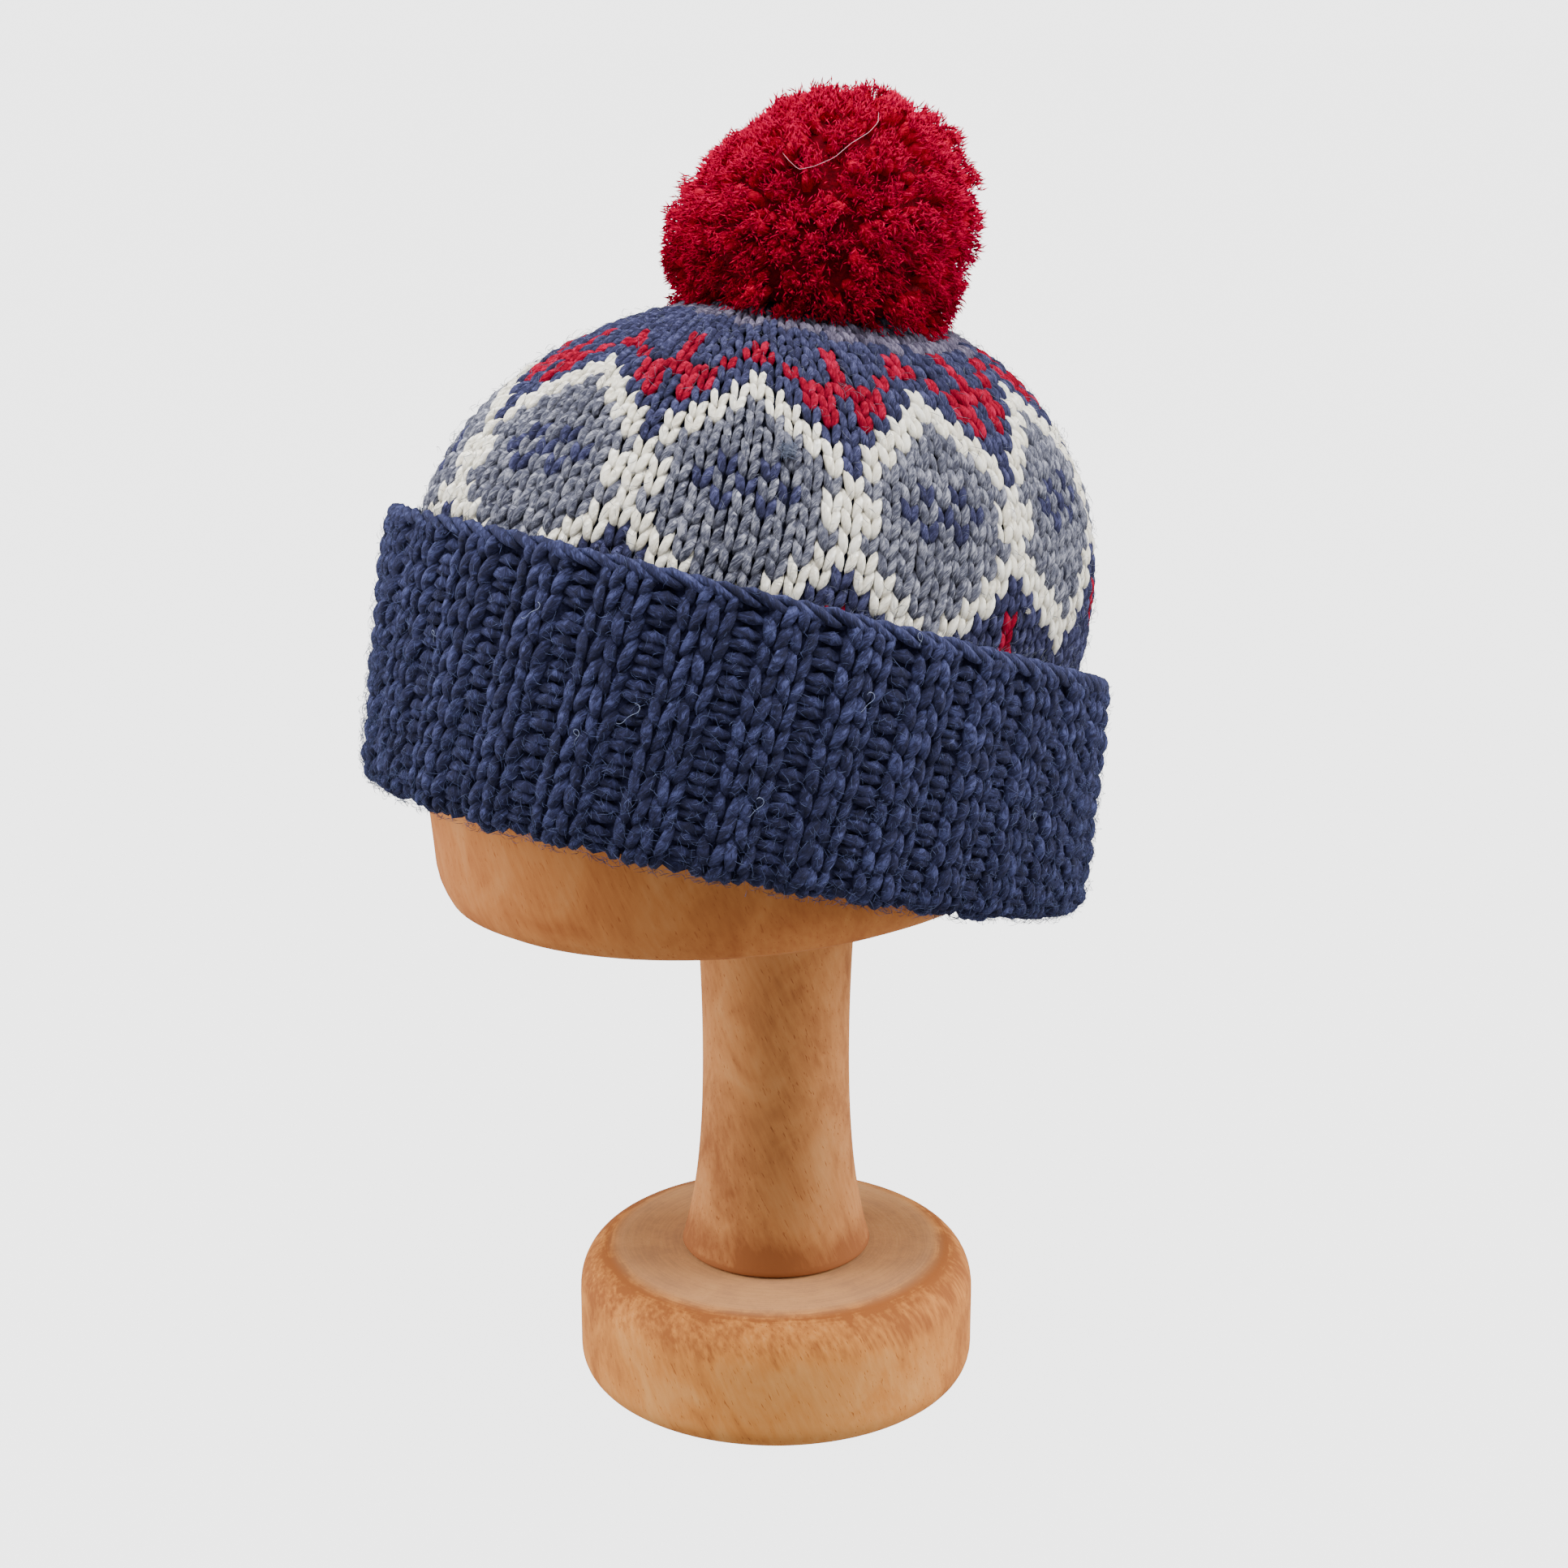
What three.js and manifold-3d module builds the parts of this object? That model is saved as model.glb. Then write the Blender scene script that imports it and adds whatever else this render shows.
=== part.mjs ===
// A knitted beanie with a folded cuff and a pompom, on the turned wooden stand that holds it.
// Millimetres, +Z up. The origin is the centre of the stand's underside, and the hat's front faces -Y.
import * as THREE from 'three';
import { mergeVertices } from 'three/addons/utils/BufferGeometryUtils.js';
import Module from 'manifold-3d';

const wasm = await Module();
wasm.setup();

// Stand
const BASE_RADIUS = 59.5;
const BASE_HEIGHT = 40;
const BASE_SHOULDER = 15;
const BASE_TOE = 9;
const POST_WAIST_RADIUS = 21.4;
const POST_FOOT_RADIUS = 28.5;
const POST_HEAD_RADIUS = 24.5;
const BLOCK_UNDERSIDE = 159.5;

// Hat: the opening that it has on the block, its knitted layer and its two heights above the fold
const HEAD_LENGTH = 199;
const HEAD_WIDTH = 163;
const KNIT_LAYER = 6.2;
const CUFF_HEIGHT = 71;
const HAT_HEIGHT = 157.5;
const SEAT_HEIGHT = 55;

// How the hat sits: its tilt to the back, and where the centre of its fold lies, from the post's axis and
// above the block's underside
const HAT_TILT = THREE.MathUtils.degToRad(17.4);
const HAT_SHIFT = -17.2;
const HAT_RISE = 9.8;
const CROWN_TUCK = 4;

// Lean of the hat's rings along their own plane, at the cuff's rim and at the top of the crown
const CUFF_LEAN = -11;
const CROWN_LEAN = 21;
// How far the point where the crown's columns meet lies from the top, forward and to the side
const POLE_FORWARD = THREE.MathUtils.degToRad(18);
const POLE_ASIDE = THREE.MathUtils.degToRad(5);
const FOLD_SLOPE = THREE.MathUtils.degToRad(-1.3);
const RIM_SLOPE = THREE.MathUtils.degToRad(1.2);

// Knit relief
const RIB_COUNT = 30;
const RIB_DEPTH = 2.4;
const GATHER_COUNT = 10;
const GATHER_DEPTH = 1.5;

// Pompom
const POMPOM_LENGTH = 90;
const POMPOM_WIDTH = 89;
const POMPOM_HEIGHT = 79;
const POMPOM_SQUARENESS = 2.4;
const POMPOM_TRIM = 0.12;
const POMPOM_TRIM_SIDE = new THREE.Vector3(-0.47, -0.7, 0.51);
const POMPOM_RISE = 18;
const POMPOM_FORWARD = -28.5;
const POMPOM_ASIDE = 0;
const LOCK_COUNT = 54;
const LOCK_RADIUS = 9.8;
const LOCK_SIDES = 5;

// Clearance between two pieces that seat on each other
const SEAT_GAP = 0.35;

// Columns of each round piece
const CUFF_COLUMNS = RIB_COUNT * 4;
const CROWN_COLUMNS = GATHER_COUNT * 6;
const BLOCK_COLUMNS = 44;
const BASE_COLUMNS = 40;
const POST_COLUMNS = 32;

const halfLength = HEAD_LENGTH / 2;
const halfWidth = HEAD_WIDTH / 2;
const crownHalfLength = halfLength + KNIT_LAYER - CROWN_TUCK;
const crownHalfWidth = halfWidth + KNIT_LAYER - CROWN_TUCK;
const ovalness = (crownHalfLength ** 2 - crownHalfWidth ** 2) / (crownHalfLength ** 2 + crownHalfWidth ** 2);
const ovalEvening = ovalness / 4;
const crownRise = HAT_HEIGHT - CUFF_HEIGHT;
const cuffThickness = 2 * KNIT_LAYER + SEAT_GAP;

// Section of the cuff, once round. out: share of the cuff's thickness from its inner face.
// up: share of its height. rib: share of the rib's depth.
const CUFF_SECTION = [
  { out: 1.0, up: 0.1, rib: 1.0 },
  { out: 1.02, up: 0.48, rib: 1.0 },
  { out: 1.0, up: 0.86, rib: 1.0 },
  { out: 0.93, up: 0.972, rib: 0.7 },
  { out: 0.76, up: 1.0, rib: 0.3 },
  { out: 0.57, up: 0.968, rib: 0.0 },
  { out: 0.53, up: 0.9, rib: 0.0 },
  { out: 0.53, up: SEAT_HEIGHT / CUFF_HEIGHT, rib: 0.0 },
  { out: 0.0, up: SEAT_HEIGHT / CUFF_HEIGHT, rib: 0.0 },
  { out: 0.0, up: 0.09, rib: 0.0 },
  { out: 0.16, up: 0.02, rib: 0.2 },
  { out: 0.5, up: 0.0, rib: 0.5 },
  { out: 0.85, up: 0.028, rib: 1.0 },
];

// Sections of the hat block. rise: share of the head length above its underside.
// long, wide and shift: shares of half the head length, half its width and half its length.
const BLOCK_SECTIONS = [
  { rise: 0.0, long: 0.8, wide: 0.82, shift: -0.175 },
  { rise: 0.013, long: 0.86, wide: 0.89, shift: -0.165 },
  { rise: 0.048, long: 0.895, wide: 0.93, shift: -0.158 },
  { rise: 0.098, long: 0.915, wide: 0.951, shift: -0.145 },
  { rise: 0.168, long: 0.95, wide: 0.975, shift: -0.125 },
  { rise: 0.284, long: 1.0, wide: 1.0, shift: -0.1 },
  { rise: 0.41, long: 1.04, wide: 1.04, shift: -0.07 },
  { rise: 0.56, long: 1.12, wide: 1.08, shift: 0.0 },
  { rise: 0.9, long: 1.2, wide: 1.1, shift: 0.06 },
];

// Closes a three.js geometry: shared vertices are merged, faces without area go, and faces point out.
function closed(geometry) {
  geometry.deleteAttribute('normal');
  geometry.deleteAttribute('uv');
  const merged = mergeVertices(geometry, 1e-4);
  const corners = merged.index.array;
  const position = merged.attributes.position;
  const faces = [];
  const a = new THREE.Vector3();
  const b = new THREE.Vector3();
  const c = new THREE.Vector3();
  let volume = 0;
  for (let k = 0; k < corners.length; k += 3) {
    const [i, j, l] = corners.slice(k, k + 3);
    if (i === j || j === l || l === i) continue;
    faces.push(i, j, l);
    a.fromBufferAttribute(position, i);
    b.fromBufferAttribute(position, j);
    c.fromBufferAttribute(position, l);
    volume += a.dot(b.cross(c));
  }
  merged.setIndex(volume > 0 ? faces : faces.reverse());
  return merged;
}

// A closed surface through rows of points round an axis: row k gives place(row, angle).
// A row with pole: true is one point.
function loft(rows, columns, place) {
  const profile = rows.map((row, k) => new THREE.Vector2(row.pole ? 0 : 1, k));
  const geometry = new THREE.LatheGeometry(profile, columns);
  const position = geometry.attributes.position;
  const point = new THREE.Vector3();
  for (let k = 0; k < position.count; k += 1) {
    const row = rows[Math.round(position.getY(k))];
    const column = Math.floor(k / rows.length) % columns;
    const angle = (2 * Math.PI * column) / columns;
    place(row, angle, point);
    position.setXYZ(k, point.x, point.y, point.z);
  }
  return closed(geometry);
}

function toSolid(geometry) {
  return new wasm.Manifold(new wasm.Mesh({
    numProp: 3,
    vertProperties: Float32Array.from(geometry.attributes.position.array),
    triVerts: Uint32Array.from(geometry.index.array),
  }));
}

function toGeometry(solid) {
  const mesh = solid.getMesh();
  const geometry = new THREE.BufferGeometry();
  geometry.setAttribute('position', new THREE.BufferAttribute(mesh.vertProperties, 3));
  geometry.setIndex(new THREE.BufferAttribute(mesh.triVerts, 1));
  return geometry;
}

// Rounded corner of a profile: the quarter of a superellipse about (x, y), from start to end angle.
function corner(x, y, radius, start, end, steps) {
  const points = [];
  for (let k = 0; k <= steps; k += 1) {
    const angle = THREE.MathUtils.degToRad(start + ((end - start) * k) / steps);
    const across = Math.sign(Math.cos(angle)) * Math.abs(Math.cos(angle)) ** 0.84;
    const along = Math.sign(Math.sin(angle)) * Math.abs(Math.sin(angle)) ** 0.84;
    points.push(new THREE.Vector2(x + radius * across, y + radius * along));
  }
  return points;
}

// Turned round about the stand's axis, which three.js draws along Y.
function turned(profile, columns) {
  return closed(new THREE.LatheGeometry(profile, columns).rotateX(Math.PI / 2));
}

// The hat's rings, in the hat's own frame: height above the fold, semi-axes along Y and X, and angle.
function hatLean(height) {
  const share = height / CUFF_HEIGHT;
  if (share <= 1) return CUFF_LEAN * share;
  const above = (height - CUFF_HEIGHT) / (HAT_HEIGHT - CUFF_HEIGHT);
  return CUFF_LEAN + CROWN_LEAN * (0.37 * above + 0.63 * above * above);
}

function hatSlope(height) {
  const share = THREE.MathUtils.clamp(height / CUFF_HEIGHT, 0, 1);
  const fade = THREE.MathUtils.clamp((HAT_HEIGHT - height) / (HAT_HEIGHT - CUFF_HEIGHT), 0, 1);
  return Math.tan(FOLD_SLOPE + (RIM_SLOPE - FOLD_SLOPE) * share) * fade;
}

function hatPoint(height, long, wide, angle, point) {
  const along = long * Math.sin(angle);
  const rise = height - along * hatSlope(height);
  return point.set(wide * Math.cos(angle), hatLean(height) + along, rise);
}

// An angle round the oval drawn in a little, so that equal angles give stitches of equal width.
function evenAngle(angle) {
  return angle - ovalEvening * Math.sin(2 * angle);
}

// How far a rib stands back from the ridge: two ridge columns and one valley column.
function ribRelief(angle) {
  const phase = ((angle * RIB_COUNT) / (2 * Math.PI)) % 1;
  const fromValley = Math.min(phase, 1 - phase);
  return fromValley < 0.125 ? RIB_DEPTH : 0;
}

function makeCuff() {
  const rows = [...CUFF_SECTION, CUFF_SECTION[0]];
  return loft(rows, CUFF_COLUMNS, (row, angle, point) => {
    const out = row.out * cuffThickness - row.rib * ribRelief(angle);
    return hatPoint(row.up * CUFF_HEIGHT, halfLength + out, halfWidth + out, evenAngle(angle), point);
  });
}

// Rows of the crown's outer skin moved out by offset, from its foot in the cuff up to the pole.
// The foot flares out to fill the cuff. turn: angle above the cuff's rim.
function crownRows(offset, foot) {
  const rows = [];
  for (const flare of [0.8, 0.35]) {
    const height = foot + (CUFF_HEIGHT - foot) * (0.8 - flare);
    rows.push({ height, offset: offset + CROWN_TUCK * flare });
  }
  const steps = 9;
  for (let k = 0; k <= steps; k += 1) {
    rows.push({ turn: (k / steps) * (Math.PI / 2), offset, pole: k === steps });
  }
  return rows;
}

// Soft gathers where the crown closes: deepest near the top and gone at its edge and pole.
function gather(row, angle) {
  const depth = GATHER_DEPTH * Math.sin(Math.PI * Math.sin(row.turn) ** 3);
  return depth * (0.5 + 0.5 * Math.cos(GATHER_COUNT * angle));
}

const topward = new THREE.Vector3(0, 0, 1);
const pole = new THREE.Vector3(-Math.sin(POLE_ASIDE), -Math.sin(POLE_FORWARD), Math.cos(POLE_FORWARD)).normalize();
const poleTurn = new THREE.Quaternion().setFromUnitVectors(topward, pole);
const partTurn = new THREE.Quaternion();
const direction = new THREE.Vector3();

// A point of the crown. The higher its row is, the more the row turns towards the pole.
function placeCrown(row, angle, point) {
  const around = evenAngle(angle);
  if (row.turn === undefined) {
    const { height, offset } = row;
    return hatPoint(height, crownHalfLength + offset, crownHalfWidth + offset, around, point);
  }
  const flat = Math.cos(row.turn);
  direction.set(flat * Math.cos(around), flat * Math.sin(around), Math.sin(row.turn));
  direction.applyQuaternion(partTurn.identity().slerp(poleTurn, Math.sin(row.turn)));
  const radial = Math.hypot(direction.x, direction.y);
  const spread = radial ** 1.015;
  const up = Math.max(0, direction.z) ** 0.97;
  const across = (2 * radial) / (crownHalfLength + crownHalfWidth);
  const along = direction.z / crownRise;
  const reach = (row.offset - gather(row, angle)) / Math.hypot(across, along);
  const height = CUFF_HEIGHT + crownRise * up + reach * along;
  const long = crownHalfLength * spread + reach * across;
  const wide = crownHalfWidth * spread + reach * across;
  return hatPoint(height, long, wide, Math.atan2(direction.y, direction.x), point);
}

function makeCrown() {
  const foot = SEAT_HEIGHT + SEAT_GAP;
  const outer = crownRows(0, foot);
  const inner = crownRows(-KNIT_LAYER, foot).reverse();
  return loft([...outer, ...inner, outer[0]], CROWN_COLUMNS, placeCrown);
}

// Everything within the hat's inner face, less the seating gap, from far below the fold.
function makeInside() {
  const below = -HEAD_WIDTH;
  const offset = CROWN_TUCK - KNIT_LAYER - SEAT_GAP;
  const rows = [
    { height: below, pole: true },
    { height: below, offset },
    { height: 0, offset },
    { height: SEAT_HEIGHT - SEAT_GAP, offset },
    ...crownRows(-KNIT_LAYER - SEAT_GAP, SEAT_HEIGHT),
  ];
  return loft(rows, BLOCK_COLUMNS, placeInside);
}

// As the crown's points, with the first row drawn together to one point.
function placeInside(row, angle, point) {
  if (row.pole && row.turn === undefined) return point.set(0, hatLean(row.height), row.height);
  return placeCrown(row, angle, point);
}

const hatMatrix = new THREE.Matrix4().makeRotationX(-HAT_TILT);
hatMatrix.setPosition(0, HAT_SHIFT, BLOCK_UNDERSIDE + HAT_RISE);

function makeBlock() {
  const first = BLOCK_SECTIONS[0];
  const last = BLOCK_SECTIONS[BLOCK_SECTIONS.length - 1];
  const rows = [{ ...first, pole: true }, ...BLOCK_SECTIONS, { ...last, pole: true }];
  const body = loft(rows, BLOCK_COLUMNS, (row, angle, point) => {
    const reach = row.pole ? 0 : 1;
    const x = reach * row.wide * halfWidth * Math.cos(angle);
    const y = (row.shift + reach * row.long * Math.sin(angle)) * halfLength;
    return point.set(x, y, BLOCK_UNDERSIDE + row.rise * HEAD_LENGTH);
  });
  const inside = makeInside().applyMatrix4(hatMatrix);
  return toGeometry(toSolid(body).intersect(toSolid(inside)));
}

function makePost() {
  const foot = BASE_HEIGHT + SEAT_GAP;
  const length = BLOCK_UNDERSIDE - SEAT_GAP - foot;
  const steps = 9;
  const profile = [new THREE.Vector2(0, foot)];
  for (let k = 0; k <= steps; k += 1) {
    const share = (k / steps) ** 1.4;
    const flareOut = (POST_FOOT_RADIUS - POST_WAIST_RADIUS) * (1 - share) ** 5;
    const flareUp = (POST_HEAD_RADIUS - POST_WAIST_RADIUS) * share ** 4;
    profile.push(new THREE.Vector2(POST_WAIST_RADIUS + flareOut + flareUp, foot + share * length));
  }
  profile.push(new THREE.Vector2(0, foot + length));
  return turned(profile, POST_COLUMNS);
}

function makeBase() {
  const toe = corner(BASE_RADIUS - BASE_TOE, BASE_TOE, BASE_TOE, -90, 0, 3);
  const shoulderFoot = BASE_HEIGHT - BASE_SHOULDER;
  const shoulder = corner(BASE_RADIUS - BASE_SHOULDER, shoulderFoot, BASE_SHOULDER, 0, 90, 6);
  return turned([new THREE.Vector2(0, 0), ...toe, ...shoulder, new THREE.Vector2(0, BASE_HEIGHT)], BASE_COLUMNS);
}

// Reach of the pompom from its centre along a unit direction: a soft superellipsoid, trimmed
// shorter on one side.
function pompomReach(direction) {
  const x = Math.abs((2 * direction.x) / POMPOM_WIDTH) ** POMPOM_SQUARENESS;
  const y = Math.abs((2 * direction.y) / POMPOM_LENGTH) ** POMPOM_SQUARENESS;
  const z = Math.abs((2 * direction.z) / POMPOM_HEIGHT) ** POMPOM_SQUARENESS;
  const trimmed = Math.max(0, direction.dot(POMPOM_TRIM_SIDE)) ** 3;
  return (x + y + z) ** (-1 / POMPOM_SQUARENESS) * (1 - POMPOM_TRIM * trimmed);
}

// Directions spread evenly over a ball, each turned from the last by the golden angle.
function spreadDirection(index, count) {
  const height = 1 - (2 * index + 1) / count;
  const turn = index * Math.PI * (3 - Math.sqrt(5));
  const across = Math.sqrt(1 - height * height);
  return new THREE.Vector3(across * Math.cos(turn), across * Math.sin(turn), height);
}

function makeLock(direction, index) {
  const reach = pompomReach(direction);
  const unevenness = 0.05 * Math.sin(index * 2.4) + 0.03 * Math.sin(index * 5.1);
  const root = reach * 0.55;
  const tip = reach * (0.99 + unevenness);
  const radius = LOCK_RADIUS * (1 + unevenness);
  const profile = [
    new THREE.Vector2(0, root),
    new THREE.Vector2(radius * 0.8, root),
    new THREE.Vector2(radius, root + (tip - root) * 0.8),
    new THREE.Vector2(radius * 0.6, root + (tip - root) * 0.96),
    new THREE.Vector2(0, tip),
  ];
  const turn = new THREE.Quaternion().setFromUnitVectors(new THREE.Vector3(0, 1, 0), direction);
  return closed(new THREE.LatheGeometry(profile, LOCK_SIDES).applyQuaternion(turn));
}

const pompomCentre = new THREE.Vector3(
  POMPOM_ASIDE,
  hatLean(HAT_HEIGHT) + POMPOM_FORWARD,
  HAT_HEIGHT + POMPOM_RISE,
);

// Locks joined to a core, and hollowed below where the pompom sits on the crown.
function makePompom() {
  const core = closed(new THREE.SphereGeometry(1, 14, 9));
  const position = core.attributes.position;
  const point = new THREE.Vector3();
  for (let k = 0; k < position.count; k += 1) {
    point.fromBufferAttribute(position, k).normalize();
    point.multiplyScalar(pompomReach(point) * 0.9);
    position.setXYZ(k, point.x, point.y, point.z);
  }
  let solid = toSolid(core);
  for (let k = 0; k < LOCK_COUNT; k += 1) {
    solid = solid.add(toSolid(makeLock(spreadDirection(k, LOCK_COUNT), k)));
  }
  const below = loft([{ height: 0, pole: true }, ...crownRows(SEAT_GAP, 0)], CROWN_COLUMNS, placeInside);
  below.translate(-pompomCentre.x, -pompomCentre.y, -pompomCentre.z);
  return toGeometry(solid.subtract(toSolid(below)));
}

function piece(name, geometry, color, roughness) {
  geometry.computeVertexNormals();
  const material = new THREE.MeshStandardMaterial({ color, roughness, metalness: 0, flatShading: false });
  const mesh = new THREE.Mesh(geometry, material);
  mesh.name = name;
  return mesh;
}

const stand = new THREE.Group();
stand.add(piece('stand_base', makeBase(), 0xb98252, 0.55));
stand.add(piece('stand_post', makePost(), 0xb57c4e, 0.55));
stand.add(piece('stand_block', makeBlock(), 0xb57a50, 0.6));

const hat = new THREE.Group();
hat.applyMatrix4(hatMatrix);
hat.add(piece('cuff', makeCuff(), 0x303f78, 1));
hat.add(piece('crown', makeCrown(), 0x6b769e, 1));
const pompom = piece('pompom', makePompom(), 0xb1122f, 1);
pompom.position.copy(pompomCentre);
hat.add(pompom);

const beanieOnStand = new THREE.Group();
beanieOnStand.add(stand, hat);

export default beanieOnStand;
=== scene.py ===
"""A knitted beanie with a folded cuff and a pompom, on the turned wooden stand that holds it.

The stitches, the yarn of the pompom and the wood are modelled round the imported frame. Lengths in this
file are millimetres until a mesh is made, and angles are radians unless a name says degrees.
"""

import functools
import logging
import math
from dataclasses import dataclass, field
from enum import Enum
from typing import Callable

import bmesh
import bpy
import numpy as np
from mathutils import Matrix, Vector
from mathutils.kdtree import KDTree


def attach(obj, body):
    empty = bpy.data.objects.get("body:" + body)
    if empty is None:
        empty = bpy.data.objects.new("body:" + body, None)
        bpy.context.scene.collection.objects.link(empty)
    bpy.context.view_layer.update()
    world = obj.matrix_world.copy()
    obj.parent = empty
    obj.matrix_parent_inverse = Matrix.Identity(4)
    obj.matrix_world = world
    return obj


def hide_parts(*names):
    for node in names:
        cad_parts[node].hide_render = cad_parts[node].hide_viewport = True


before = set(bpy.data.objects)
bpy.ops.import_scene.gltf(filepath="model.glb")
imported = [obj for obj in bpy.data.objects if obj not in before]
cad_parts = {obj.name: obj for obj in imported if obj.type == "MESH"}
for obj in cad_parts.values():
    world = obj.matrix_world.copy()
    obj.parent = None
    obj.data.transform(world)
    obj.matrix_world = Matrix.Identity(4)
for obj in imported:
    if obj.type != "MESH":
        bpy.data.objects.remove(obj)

LOG = logging.getLogger("beanie")
MM = 0.001
TAU = 2 * math.pi
BODY = "root"
Array = np.ndarray
Chance = np.random.Generator
Colour = tuple[float, float, float]
Piece = bpy.types.Object
Socket = bpy.types.NodeSocket


def unit(vectors: Array) -> Array:
    """The same directions as vectors of length one."""
    return vectors / np.linalg.norm(vectors, axis=-1, keepdims=True)


def straight(share: Array) -> Array:
    """The spine of a straight strand of length one, up z."""
    return np.stack([0 * share, 0 * share, share], -1)


def plump(share: Array) -> Array:
    """Thickness of a short strand with full round ends."""
    return np.sin(math.pi * np.clip(share, 0.04, 0.96)) ** 0.5


def bare(share: Array) -> Array:
    """No thickness, for a strand whose rings get their size later."""
    return 0 * share


class Yarn(Enum):
    """Yarns of the hat, by the name of the piece's colour."""

    IVORY = "ivory"
    MARL = "marl"
    NAVY = "navy"
    RED = "red"
    LILAC = "lilac"


@dataclass
class HatForm:
    """Sizes of the hat and how it sits on its block, as in the part's source.

    Attributes are millimetres and radians. Heights are measured in the hat's own frame, whose origin is
    the middle of the cuff's fold and whose z axis leans back by the tilt.
    """

    half_length: float = 99.5
    half_width: float = 81.5
    knit_layer: float = 6.2
    seat_gap: float = 0.35
    cuff_height: float = 71.0
    hat_height: float = 157.5
    seat_height: float = 55.0
    crown_tuck: float = 4.0
    tilt: float = math.radians(17.4)
    shift: float = -17.2
    rise: float = 9.8
    block_underside: float = 159.5
    cuff_lean: float = -11.0
    crown_lean: float = 21.0
    fold_slope: float = math.radians(-1.3)
    rim_slope: float = math.radians(1.2)
    pole_forward: float = math.radians(18)
    pole_aside: float = math.radians(5)
    side_power: float = 1.015
    top_power: float = 0.97
    block_gap: float = 0.4
    dome_gap: float = 0.6
    dome_start: float = 66.0
    fold_reach: float = 4.0

    @property
    def crown_half_length(self) -> float:
        """Half the crown's length outside its knit."""
        return self.half_length + self.knit_layer - self.crown_tuck

    @property
    def crown_half_width(self) -> float:
        """Half the crown's width outside its knit."""
        return self.half_width + self.knit_layer - self.crown_tuck

    @property
    def crown_rise(self) -> float:
        """Height of the crown above the cuff's rim."""
        return self.hat_height - self.cuff_height

    @property
    def cuff_thickness(self) -> float:
        """Thickness of the folded cuff."""
        return 2 * self.knit_layer + self.seat_gap

    def even(self, angle: Array) -> Array:
        """Draws angles round the oval in a little, so that equal angles give equal stitches."""
        long, wide = self.crown_half_length**2, self.crown_half_width**2
        return angle - (long - wide) / (long + wide) / 4 * np.sin(2 * angle)

    def lean(self, height: Array) -> Array:
        """How far a ring's middle lies along y, by its height.

        Args:
            height: Height of the ring in the hat's frame.

        Returns:
            The distance in millimetres.
        """
        share = height / self.cuff_height
        above = (height - self.cuff_height) / self.crown_rise
        upper = self.cuff_lean + self.crown_lean * (0.37 * above + 0.63 * above * above)
        return np.where(share <= 1, self.cuff_lean * share, upper)

    def slope(self, height: Array) -> Array:
        """Slope of a ring's plane along y, by its height.

        Args:
            height: Height of the ring in the hat's frame.

        Returns:
            Millimetres that the ring falls for each one along y.
        """
        share = np.clip(height / self.cuff_height, 0, 1)
        fade = np.clip((self.hat_height - height) / self.crown_rise, 0, 1)
        return np.tan(self.fold_slope + (self.rim_slope - self.fold_slope) * share) * fade

    def place(self, height: Array, long: Array, wide: Array, angle: Array) -> Array:
        """Points of an oval ring in the row's frame.

        Args:
            height: Height of the ring in the hat's frame.
            long: Half length of the ring along y.
            wide: Half width of the ring along x.
            angle: Angle round the ring from +x.

        Returns:
            An array of points, one row of x, y and z each, in millimetres.
        """
        along = long * np.sin(angle)
        y = self.lean(height) + along
        return self.seated(wide * np.cos(angle), y, height - along * self.slope(height))

    def seated(self, x: Array, y: Array, z: Array) -> Array:
        """Leans points of the hat's frame back and sets them on the block.

        Args:
            x: Places across the hat.
            y: Places along the hat.
            z: Heights above the middle of the cuff's fold.

        Returns:
            The points in the row's frame.
        """
        cos, sin = math.cos(self.tilt), math.sin(self.tilt)
        world_y = self.shift + y * cos + z * sin
        world_z = self.block_underside + self.rise - y * sin + z * cos
        return np.stack(np.broadcast_arrays(x, world_y, world_z), -1)

    def inside(self, points: Array, crown: "Skin") -> Array:
        """Tells which points lie inside the hat or below its fold.

        Args:
            points: Points in the row's frame.
            crown: The crown's skin.

        Returns:
            True for each point that is free of the knitted fabric.
        """
        cos, sin = math.cos(self.tilt), math.sin(self.tilt)
        forward = points[..., 1] - self.shift
        upward = points[..., 2] - self.block_underside - self.rise
        height = forward * sin + upward * cos
        along = forward * cos - upward * sin - self.lean(height)
        across = points[..., 0] / (self.half_width - self.block_gap)
        oval = np.hypot(across, along / (self.half_length - self.block_gap)) <= 1
        dome = crown.depth(points) < -self.knit_layer - self.dome_gap
        return (height <= -self.fold_reach) | np.where(height < self.dome_start, oval, dome)

    def toward_pole(self, directions: Array, turns: Array) -> Array:
        """Turns directions towards the point where the crown's columns meet.

        Args:
            directions: Unit vectors from the crown's middle.
            turns: Angles that they are turned by.

        Returns:
            The turned vectors.
        """
        pole = np.array(
            [-math.sin(self.pole_aside), -math.sin(self.pole_forward), math.cos(self.pole_forward)]
        )
        pole /= np.linalg.norm(pole)
        axis = np.cross([0, 0, 1], pole)
        axis /= np.linalg.norm(axis)
        cos, sin = np.cos(turns)[..., None], np.sin(turns)[..., None]
        along = (directions @ axis)[..., None] * axis
        return directions * cos + np.cross(axis, directions) * sin + along * (1 - cos)

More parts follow.
